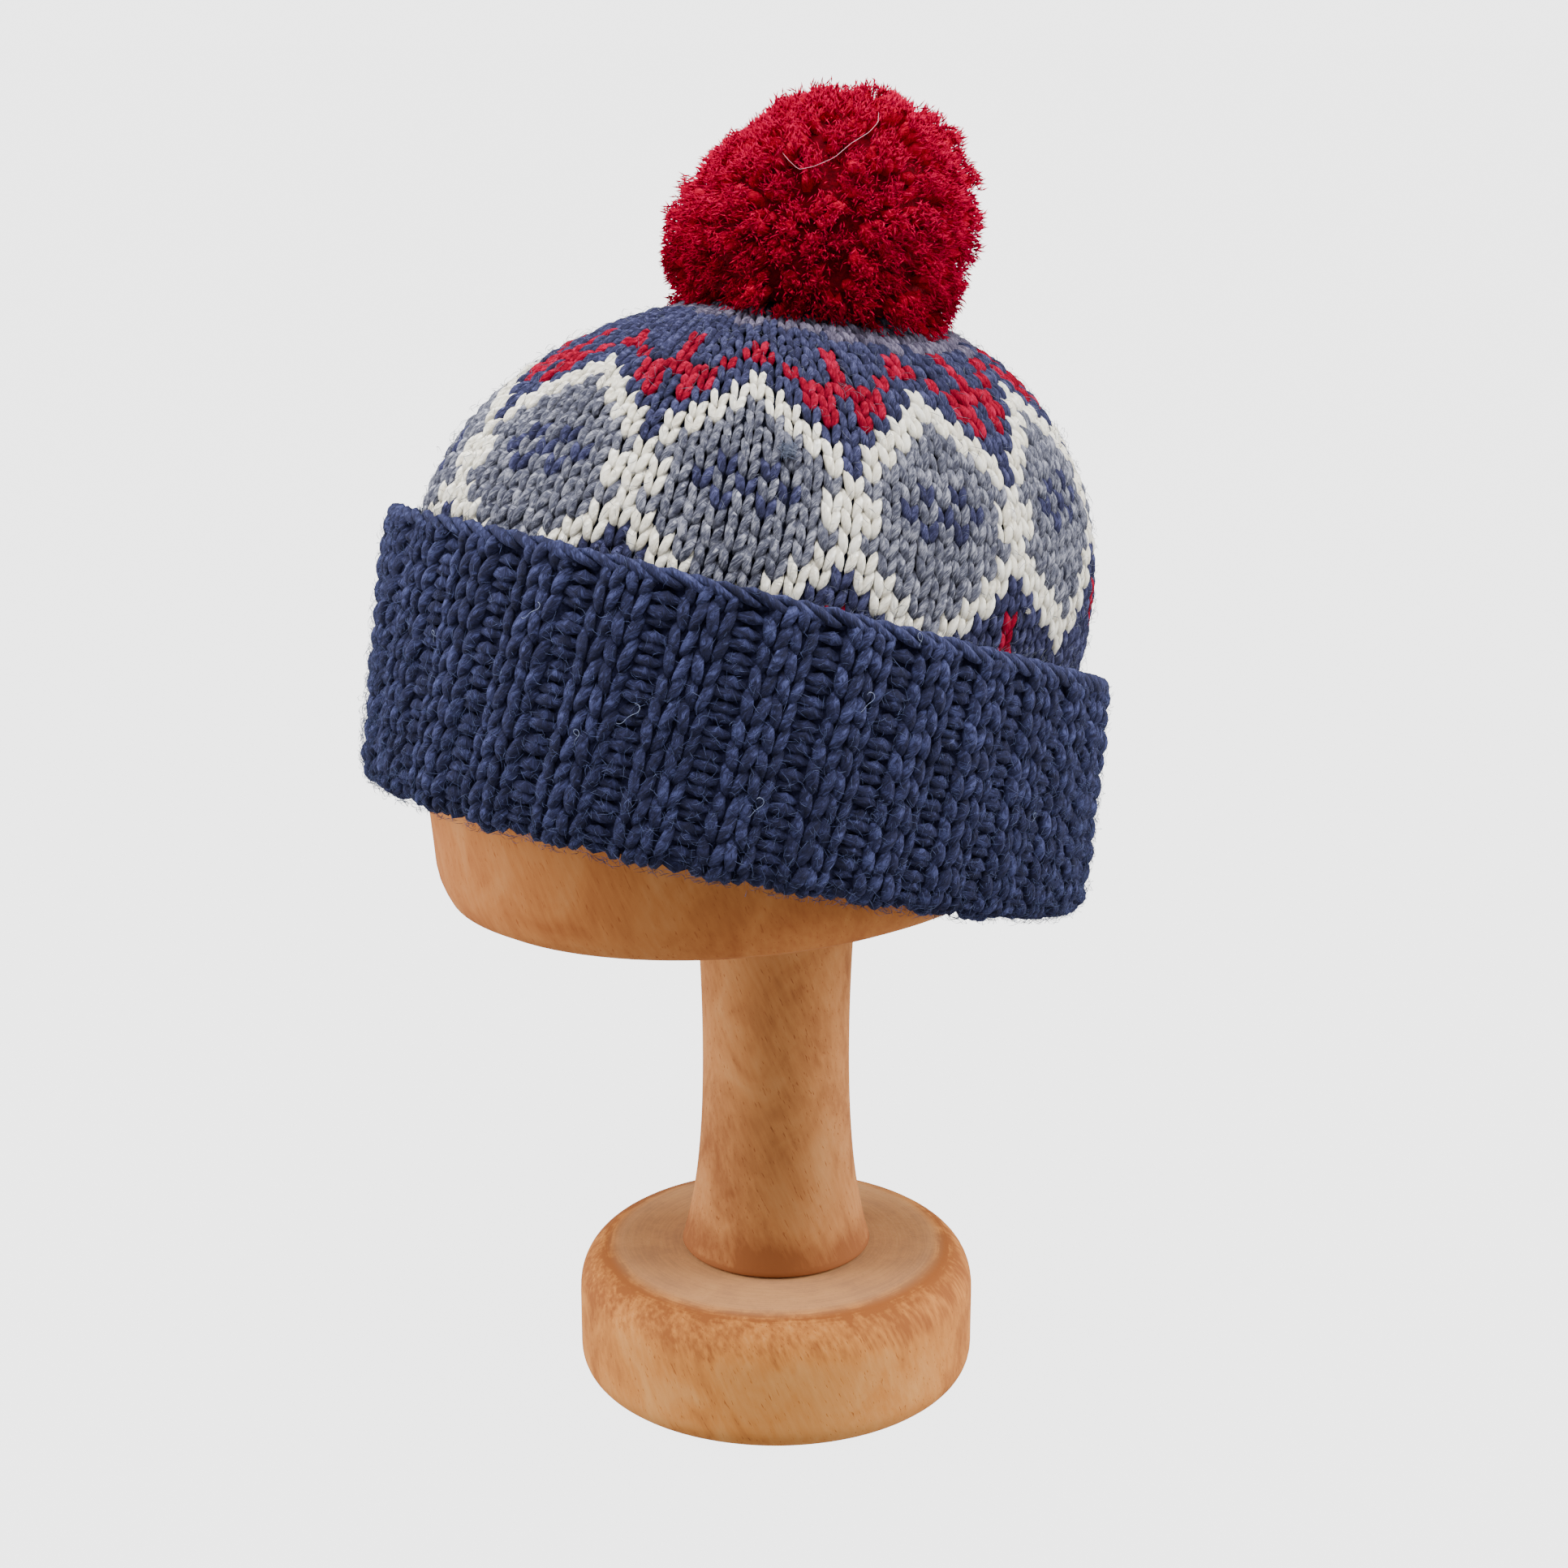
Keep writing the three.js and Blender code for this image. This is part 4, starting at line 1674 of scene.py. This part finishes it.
    def core(self) -> Piece:
        """The dense middle of red yarn, drawn darker as painted shade, which shows only as darkness between
        the yarn ends.

        Returns:
            The piece.
        """
        shape = bmesh.new()
        bmesh.ops.create_icosphere(shape, subdivisions=4, radius=1.0)
        ball = unit(np.array([v.co[:] for v in shape.verts]))
        reach = self.clear(ball, self.reach(ball) * self.core_share, self.core_gap)
        points = self.world(ball * np.maximum(reach, 4.0)[:, None]) * MM
        for vert, point in zip(shape.verts, points):
            vert.co = Vector(point)
        return settle(smooth_piece("pompom_core", shape), "pompom_wool", POMPOM_CORE_SHADE, "pompom")

    def ends(self, directions: Array, reach: Array, chance: Chance) -> Stamped:
        """The cut yarn ends, each a thick soft strand that leans a little.

        Args:
            directions: Unit vectors from the centre in the hat's frame.
            reach: Distance from the centre to each end.
            chance: Source of small differences.

        Returns:
            The joined ends.
        """
        count = len(reach)
        strand = make_strand(straight, bare, 5, 6)
        blunt = np.clip(1.25 * strand.along + 0.35, 0, 1.0) * np.where(strand.along > 0.999, 0, 1)
        blunt = blunt * np.where(strand.along < 0.001, 0, 1) * np.where(strand.along > 0.9, 0.86, 1)
        lump = 1 + 0.16 * np.sin(3 * strand.around[None] + chance.uniform(0, TAU, count)[:, None])
        wound = 2 * strand.around[None] + 9 * strand.along[None]
        lump += 0.13 * np.sin(wound + chance.uniform(0, TAU, count)[:, None])
        radius = chance.uniform(1.3, 2.0, count)[:, None] * blunt[None] * lump
        heading = unit(directions + chance.normal(0, 0.12, (count, 3)))
        side = unit(np.cross(heading, [0.3, 0.5, 0.8]))
        other = np.cross(heading, side)
        stem = chance.uniform(12.0, 15.0, count)
        foot = directions * (reach - 2.4)[:, None] - heading * stem[:, None]
        along = foot[:, None, :] + heading[:, None, :] * (stem[:, None] * strand.along[None])[..., None]
        around = strand.around[None, :, None]
        spread = side[:, None, :] * np.cos(around) + other[:, None, :] * np.sin(around)
        stamped = Stamped()
        # Painted shade: ends toward the pompom's foot get a lower tone, so they are drawn darker where the
        # pompom shades itself.
        tone = chance.uniform(0, 1, count) - self.depth(directions)
        points = self.world(along + spread * radius[..., None])
        stamped.add(strand, points, tone, length=14.0, turns=1.2)
        return stamped

    def fluff(self, directions: Array, reach: Array, clump: Array, chance: Chance) -> Stamped:
        """Fine fibres that spread from the yarn ends, away from the middle of each clump.

        Args:
            directions: Unit vectors from the centre in the hat's frame.
            reach: Distance from the centre to each end.
            clump: Direction of each end's clump.
            chance: Source of small differences.

        Returns:
            The joined fibres.
        """
        outward = np.repeat(directions, self.fibres, axis=0)
        lean = chance.normal(0, 0.15, directions.shape) + 2.2 * (directions - clump)
        lean = np.repeat(lean, self.fibres, axis=0)
        heading = unit(outward + lean + chance.normal(0, 0.42, outward.shape))
        length = chance.uniform(2.3, 4.0, len(outward))[:, None]
        level = np.repeat(reach, self.fibres)[:, None] + chance.normal(-0.1, 0.65, (len(outward), 1))
        spread = chance.normal(0, 1.45, outward.shape)
        spread -= (spread * outward).sum(1, keepdims=True) * outward
        end = outward * level + spread + 0.4 * length * (heading - outward)
        start = end - heading * length
        stamped = Stamped()
        # Painted shade: fibres toward the pompom's foot are drawn darker as well.
        add_fibres(stamped, self.world(start), self.world(end), 0.25, chance, depth=self.depth(outward))
        return stamped

    @staticmethod
    def depth(directions: Array) -> Array:
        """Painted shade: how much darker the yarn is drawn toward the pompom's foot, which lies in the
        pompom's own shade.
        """
        return 2.2 * np.clip(-directions[:, 2] - 0.05, 0, 0.7)


def add_fibres(
    target: Stamped,
    start: Array,
    end: Array,
    radius: float,
    chance: Chance,
    bend: float = 0.0,
    depth: Array | float = 0.0,
) -> None:
    """Adds fine fibres, each a three-sided spindle from its start to its end.

    Args:
        target: The joined strands that the fibres are added to.
        start: Points where the fibres leave the yarn.
        end: Points where they end.
        radius: Radius in the middle of a fibre.
        chance: Source of their tones and turns.
        bend: How far the fibres bow, as a share of their length. Straight fibres have one ring of points.
        depth: How much darker than the rest the fibres are drawn, as painted shade.
    """
    fibre = make_strand(straight, bare, 3, 3 if bend else 2)
    heading = end - start
    side = unit(np.cross(heading, chance.normal(0, 1, heading.shape)))
    other = unit(np.cross(heading, side))
    bow = chance.normal(0, 1, (len(start), 1)) * bend * np.linalg.norm(heading, axis=1, keepdims=True)
    middle = start[:, None, :] + heading[:, None, :] * fibre.along[None, :, None]
    middle = middle + (side * bow)[:, None, :] * np.sin(math.pi * fibre.along)[None, :, None]
    ring = radius * (np.abs(fibre.along - 0.5) < 0.4)
    spread = side[:, None, :] * (ring * np.cos(fibre.around))[None, :, None]
    spread = spread + other[:, None, :] * (ring * np.sin(fibre.around))[None, :, None]
    tone = chance.uniform(0, 1, len(start)) - depth
    target.add(fibre, middle + spread, tone, length=3.0, turns=0.0)


@dataclass
class Fuzz:
    """Loose fibres that stand off the wool.

    Attributes:
        crown_count: Fibres on the crown.
        crown_reach: Distances from the pole that they lie between.
        crown_lift: How far they start off the crown's skin.
        cuff_count: Fibres on the cuff.
        cuff_reach: Distances from the rim's inner edge that they lie between.
        radius: Radius of a fibre.
        bend: How far they bow, as a share of their length.
    """

    crown_count: int = 4600
    crown_reach: tuple[float, float] = (36.0, 168.0)
    crown_lift: float = 0.8
    cuff_count: int = 10000
    cuff_reach: tuple[float, float] = (4.0, 88.0)
    radius: float = 0.065
    bend: float = 0.22
    seed: int = 41

    def build(self, crown: Skin, cuff: Skin) -> list[Piece]:
        """Strews fibres over the crown and the cuff.

        Args:
            crown: The crown's skin.
            cuff: The cuff's skin.

        Returns:
            The crown's fibres and the cuff's.
        """
        chance = np.random.default_rng(self.seed)
        upper, lower = Stamped(), Stamped()
        self.strew(upper, crown, self.crown_count, self.crown_reach, self.crown_lift, chance)
        self.strew(lower, cuff, self.cuff_count, self.cuff_reach, 0.0, chance)
        return [
            settle(upper.piece("crown_fuzz"), "crown_wool", PALE_FUZZ),
            settle(lower.piece("cuff_fuzz"), "cuff_wool", BLUE_FUZZ),
        ]

    def strew(
        self,
        target: Stamped,
        skin: Skin,
        count: int,
        reach: tuple[float, float],
        lift: float,
        chance: Chance,
    ) -> None:
        """Lays bent fibres at random places of a skin, mostly along it.

        Args:
            target: The joined strands that it adds to.
            skin: The surface that carries them.
            count: Number of fibres.
            reach: Distances that they lie between.
            lift: How far they start off the skin.
            chance: Source of small differences.
        """
        angle = chance.uniform(0, TAU, count)
        distance = np.sqrt(chance.uniform(reach[0] ** 2, reach[1] ** 2, count))
        distance = np.minimum(distance, skin.reach_at(angle) - 14.0)
        way = chance.uniform(0, TAU, count)
        length = chance.uniform(1.8, 5.0, count)
        metric = skin.read(skin.metric, distance, angle)
        ahead = distance + length * np.cos(way)
        beside = angle + length * np.sin(way) / metric
        start = skin.at(distance, angle, np.full(count, lift))
        end = skin.at(np.maximum(ahead, 1.0), beside, lift + chance.uniform(0.5, 2.0, count))
        add_fibres(target, start, end, self.radius, chance, self.bend)


@dataclass
class Strays:
    """Single loose fibres, curls and specks of fluff, where the hat shows them.

    Attributes:
        long_fibre: Points of the long pale fibre on the pompom, in the row's frame.
        fluff_spot: Distance from the pole and angle of the spot of fluff on the crown.
        pale_speck: The same of the pale speck.
        curls: Distance from the rim, angle, size and first turn of each curled fibre on the cuff.
        thread_radius: Radius of the single fibres.
    """

    seed: int = 77
    thread_radius: float = 0.055
    long_fibre: tuple = (
        (21.6, -16.8, 362.8), (23.7, -16.4, 360.8), (26.3, -15.3, 358.6),
        (29.2, -12.6, 359.4), (32.4, -8.3, 361.6), (34.1, -4.1, 365.1),
        (35.7, 1.0, 367.9), (35.7, 4.2, 370.3), (34.1, 6.0, 373.1),
    )
    fluff_spot: tuple[float, float] = (95.0, 5.592)
    pale_speck: tuple[float, float] = (132.5, 0.1885)
    curls: tuple = (
        (47.0, 5.27, 9.0, 0.4), (56.0, 5.18, 7.0, 1.9), (31.0, 5.85, 8.0, 1.0), (12.0, 6.0, 6.0, 2.6),
        (27.0, 5.01, 7.5, 0.2), (40.0, 4.75, 6.0, 2.2), (63.0, 5.6, 8.0, 0.9), (50.0, 0.2, 6.5, 2.9),
    )

    def build(self, crown: Skin, cuff: Skin) -> list[Piece]:
        """Lays the strays on the crown, the cuff and the pompom.

        Args:
            crown: The crown's skin.
            cuff: The cuff's skin.

        Returns:
            The pieces, one for each part of the hat.
        """
        chance = np.random.default_rng(self.seed)
        fibre, loops, fluff, speck = Stamped(), Stamped(), Stamped(), Stamped()
        self.thread(fibre, np.array(self.long_fibre))
        for distance, angle, size, turn in self.curls:
            share = np.linspace(0, 1, 15)
            bend = turn + 4.4 * share + 1.1 * np.sin(6 * share + turn)
            along = distance + size * 0.3 * np.cumsum(np.cos(bend)) / 4
            beside = angle + size * 0.3 * np.cumsum(np.sin(bend)) / 4 / 95.0
            self.thread(loops, cuff.at(along, beside, 1.6 + 0.9 * np.sin(math.pi * share)))
        self.tuft(fluff, crown, self.fluff_spot, 150, 2.4, chance)
        self.tuft(speck, crown, self.pale_speck, 45, 0.7, chance)
        return [
            settle(fibre.piece("pompom_long_fibre"), "pompom_wool", LOOSE_FIBRE),
            settle(loops.piece("cuff_curled_fibres"), "cuff_wool", FLUFF_SPOT),
            settle(fluff.piece("crown_fluff_spot"), "crown_wool", FLUFF_SPOT),
            settle(speck.piece("crown_pale_speck"), "crown_wool", IVORY_WOOL),
        ]

    def thread(self, target: Stamped, points: Array) -> None:
        """Runs a thin fibre through points.

        Args:
            target: The joined strands that it adds to.
            points: The points, in order.
        """
        places = np.linspace(0, 1, len(points))

        def spine(share: Array) -> Array:
            """Middle of the yarn along its length."""
            return np.stack([np.interp(share, places, points[:, axis]) for axis in range(3)], -1)

        strand = make_strand(spine, lambda share: np.full_like(share, self.thread_radius), 4, 3 * len(points))
        target.add(strand, strand.points[None], np.array([0.5]), length=20.0, turns=0.0)

    @staticmethod
    def tuft(
        target: Stamped,
        skin: Skin,
        place: tuple[float, float],
        count: int,
        size: float,
        chance: Chance,
    ) -> None:
        """Gathers short fibres into a speck of fluff on a skin.

        Args:
            target: The joined strands that it adds to.
            skin: The surface that carries them.
            place: Distance and angle of its middle.
            count: Number of fibres.
            size: Size of the speck.
            chance: Source of small differences.
        """
        metric = float(skin.read(skin.metric, np.array(place[0]), np.array(place[1])))
        distance = place[0] + chance.normal(0, 0.5 * size, (2, count))
        angle = place[1] + chance.normal(0, 0.5 * size, (2, count)) / metric
        start = skin.at(distance[0], angle[0], chance.uniform(1.4, 2.4, count))
        end = skin.at(distance[1], angle[1], chance.uniform(1.8, 2.9, count))
        add_fibres(target, start, end, 0.09, chance, 0.25)


@dataclass
class Stand:
    """The turned base and post of the stand and the smooth block that fills the hat.

    Attributes:
        form: The hat's sizes.
        inside: The crown's skin, which the block stays inside.
        base_radius: Radius of the base.
        base_height: Height of the base.
        base_shoulder: Size of its rounded upper edge.
        base_toe: Size of its rounded lower edge.
        waist_radius: Radius of the post where it is thinnest.
        foot_radius: Radius of the post on the base.
        head_radius: Radius of the post under the block.
        block_height: Height that the block's sections are shares of.
        block_middle: Point that the block is drawn in towards where the hat is smaller.
        sections: Height, half length, half width and place along y of the block's sections, as shares
            of its height, the hat's half length, its half width and its half length.
    """

    form: HatForm
    inside: Skin
    base_radius: float = 59.5
    base_height: float = 40.0
    base_shoulder: float = 15.0
    base_toe: float = 9.0
    waist_radius: float = 21.4
    foot_radius: float = 28.5
    head_radius: float = 24.5
    block_height: float = 199.0
    block_middle: tuple[float, float, float] = (0.0, -12.0, 225.0)
    sections: tuple = (
        (0.0, 0.80, 0.82, -0.175), (0.013, 0.86, 0.89, -0.165), (0.048, 0.895, 0.93, -0.158),
        (0.098, 0.915, 0.951, -0.145), (0.168, 0.95, 0.975, -0.125), (0.284, 1.0, 1.0, -0.1),
        (0.41, 1.04, 1.04, -0.07), (0.56, 1.12, 1.08, 0.0), (0.9, 1.2, 1.1, 0.06),
    )

    def turned(
        self, name: str, profile: list[tuple[float, float]], finish: WoodFinish, node: str, steps: int = 128
    ) -> Piece:
        """Turns a profile of radius and height on the lathe.

        Args:
            name: Name of the piece.
            profile: Radius and height of each point, from the lower centre to the upper one.
            finish: The wood's finish.
            node: The frame's node that the piece stands for.
            steps: Faces round the axis.

        Returns:
            The piece.
        """
        shape = bmesh.new()
        verts = [shape.verts.new((radius * MM, 0, height * MM)) for radius, height in profile]
        edges = [shape.edges.new(pair) for pair in zip(verts[:-1], verts[1:])]
        bmesh.ops.spin(
            shape, geom=verts + edges, cent=(0, 0, 0), axis=(0, 0, 1), angle=TAU, steps=steps, use_merge=True
        )
        bmesh.ops.remove_doubles(shape, verts=shape.verts[:], dist=1e-6)
        bmesh.ops.recalc_face_normals(shape, faces=shape.faces[:])
        return settle(smooth_piece(name, shape), "stand_wood", finish, node)

    @staticmethod
    def corner(radius: float, height: float, size: float, start: float, steps: int) -> list:
        """A rounded corner of a quarter turn, a little fuller than a circle.

        Args:
            radius: Radius of the corner's centre.
            height: Height of the corner's centre.
            size: Size of the corner.
            start: Angle where it starts, in degrees.
            steps: Number of segments.

        Returns:
            Points of radius and height.
        """
        points = []
        for step in range(steps + 1):
            angle = math.radians(start + 90 * step / steps)
            cos, sin = math.cos(angle), math.sin(angle)
            across = math.copysign(abs(cos) ** 0.84, cos) if abs(cos) > 1e-9 else 0.0
            upward = math.copysign(abs(sin) ** 0.84, sin) if abs(sin) > 1e-9 else 0.0
            points.append((radius + size * across, height + size * upward))
        return points

    def build(self) -> list[Piece]:
        """Makes the base, the post and the block.

        Returns:
            The three pieces.
        """
        toe = self.corner(self.base_radius - self.base_toe, self.base_toe, self.base_toe, -90, 10)
        middle = self.base_radius - self.base_shoulder, self.base_height - self.base_shoulder
        shoulder = self.corner(*middle, self.base_shoulder, 0, 14)
        top = [(radius, self.base_height) for radius in (40.0, 34.0, 29.5)]
        base = [(0.0, 0.0), (30.0, 0.0), *toe, *shoulder, *top, (0.0, self.base_height)]
        pieces = [self.turned("turned_base", base, BASE_WOOD, "stand_base")]
        foot = self.base_height + self.form.seat_gap
        length = self.form.block_underside - self.form.seat_gap - foot
        post = [(0.0, foot), (self.foot_radius - 1.2, foot)]
        for step in range(40):
            share = (step / 39) ** 1.4
            flare = (self.foot_radius - self.waist_radius) * (1 - share) ** 5
            flare += (self.head_radius - self.waist_radius) * share**4
            inward, lift = (0.5, 0.25) if step == 0 else (0.0, 0.0)
            post.append((self.waist_radius + flare - inward, foot + share * length + lift))
        post.append((0.0, foot + length))
        pieces.append(self.turned("turned_post", post, POST_WOOD, "stand_post"))
        pieces.append(self.block())
        return pieces

    def block(self) -> Piece:
        """The block, smoothed between its sections and held inside the hat.

        Returns:
            The piece.
        """
        rise, long, wide, shift = np.array(self.sections).T
        rises = np.concatenate([[0.0, 0.004, 0.012, 0.024, 0.04], np.linspace(0.06, 0.83, 30)])
        angles = np.arange(96) / 96 * TAU
        centre = np.array(self.block_middle)
        rings = []
        for level in rises:
            x = np.interp(level, rise, wide) * self.form.half_width * np.cos(angles)
            y = np.interp(level, rise, shift) + np.interp(level, rise, long) * np.sin(angles)
            height = np.full_like(angles, self.form.block_underside + level * self.block_height)
            ring = np.stack([x, y * self.form.half_length, height], -1)
            if level > 0.1:
                shares = np.linspace(0.2, 1.0, 61)
                rays = centre + (ring - centre)[:, None, :] * shares[None, :, None]
                free = np.logical_and.accumulate(self.form.inside(rays, self.inside), axis=1)
                ring = centre + (ring - centre) * shares[np.maximum(free.sum(1) - 1, 0)][:, None]
            rings.append(ring)
        piece = shell_piece("shaped_block", rings, closed_ends=True)
        return settle(piece, "stand_wood", BLOCK_WOOD, "stand_block")


@dataclass
class Studio:
    """Floor, light and the camera at the photograph's angle."""

    azimuth: float = math.radians(48.0)
    pitch: float = math.radians(15.9)
    distance: float = 775.0
    aim_height: float = 183.5
    aim_right: float = 2.4
    focal_pixels: float = 3300.0
    frame_pixels: float = 1932.0
    sensor: float = 36.0
    backdrop: float = 3.55
    ambient: float = 0.45
    bounce: float = 0.75

    def build(self) -> None:
        """Adds the camera, the lights and the floor."""
        right = Vector((math.cos(self.azimuth), math.sin(self.azimuth), 0))
        level = Vector((-math.sin(self.azimuth), math.cos(self.azimuth), 0))
        ahead = level * math.cos(self.pitch) - Vector((0, 0, math.sin(self.pitch)))
        upward = right.cross(ahead)
        aim = Vector((0, 0, self.aim_height)) + right * self.aim_right
        data = bpy.data.cameras.new("camera")
        data.sensor_width = self.sensor
        data.lens = self.focal_pixels / self.frame_pixels * self.sensor
        data.clip_start, data.clip_end = 0.05, 50.0
        camera = link(bpy.data.objects.new("camera", data))
        turn = Matrix((right, upward, -ahead)).transposed()
        camera.matrix_world = Matrix.Translation((aim - ahead * self.distance) * MM) @ turn.to_4x4()
        bpy.context.scene.camera = camera
        self.floor()
        self.lights(right, level)

    def floor(self) -> None:
        """Adds the plain pale floor, which shows as evenly pale as the studio round it."""
        shape = bmesh.new()
        bmesh.ops.create_grid(shape, x_segments=1, y_segments=1, size=40.0)
        nodes = Nodes("pale_floor")
        seen = nodes.add("ShaderNodeLightPath").outputs["Is Camera Ray"]
        glow = nodes.plus(self.bounce, nodes.times(seen, self.backdrop * 0.985 - self.bounce))
        nodes.dress(
            {
                "Base Color": (0.05, 0.05, 0.05),
                "Roughness": 1.0,
                "Specular IOR Level": 0.0,
                "Emission Color": (1.0, 1.0, 1.0),
                "Emission Strength": glow,
            }
        )
        floor = smooth_piece("floor", shape)
        floor.data.materials.append(nodes.material)

    def lights(self, right: Vector, level: Vector) -> None:
        """Adds the pale studio round the stand and its soft lamps.

        Args:
            right: Direction to the camera's right.
            level: Level direction away from the camera.
        """
        world = bpy.data.worlds.new("studio_air")
        world.use_nodes = True
        tree = world.node_tree
        seen = tree.nodes.new("ShaderNodeLightPath")
        strength = tree.nodes.new("ShaderNodeMapRange")
        strength.inputs["To Min"].default_value = self.ambient
        strength.inputs["To Max"].default_value = self.backdrop
        tree.links.new(seen.outputs["Is Camera Ray"], strength.inputs["Value"])
        tree.links.new(strength.outputs["Result"], tree.nodes["Background"].inputs["Strength"])
        tree.nodes["Background"].inputs["Color"].default_value = (1, 1, 1, 1)
        bpy.context.scene.world = world
        upward = Vector((0, 0, 1))
        lamps = (
            ("left_lamp", -right * 1.28 + level * 0.02 + upward * 0.5, 31.5, 1.0),
            ("right_lamp", right * 1.28 + level * 0.06 + upward * 0.42, 34.5, 1.0),
            ("top_lamp", -level * 0.35 + upward * 1.35, 42.0, 0.9),
        )
        for name, place, power, size in lamps:
            data = bpy.data.lights.new(name, "AREA")
            data.energy = power
            data.size = size
            lamp = link(bpy.data.objects.new(name, data))
            lamp.location = place
            lamp.rotation_euler = (Vector((0, 0, 0.2)) - place).to_track_quat("-Z", "Y").to_euler()


def main() -> None:
    """Builds the hat and its stand round the frame, in order."""
    logging.basicConfig(level=logging.INFO, format="%(message)s")
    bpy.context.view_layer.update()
    form = HatForm()
    Studio().build()
    crown, cuff = CrownKnit(form), CuffKnit(form)
    pieces = crown.build() + cuff.build()
    ground, folded = crown.skin(), cuff.skin()
    pieces += Fuzz().build(ground, folded) + Strays().build(ground, folded)
    pieces += Pompom(form, ground).build() + Stand(form, ground).build()
    LOG.info("%d pieces, %d triangles", len(pieces), sum(triangles(piece) for piece in pieces))
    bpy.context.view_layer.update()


if __name__ == "__main__":
    main()
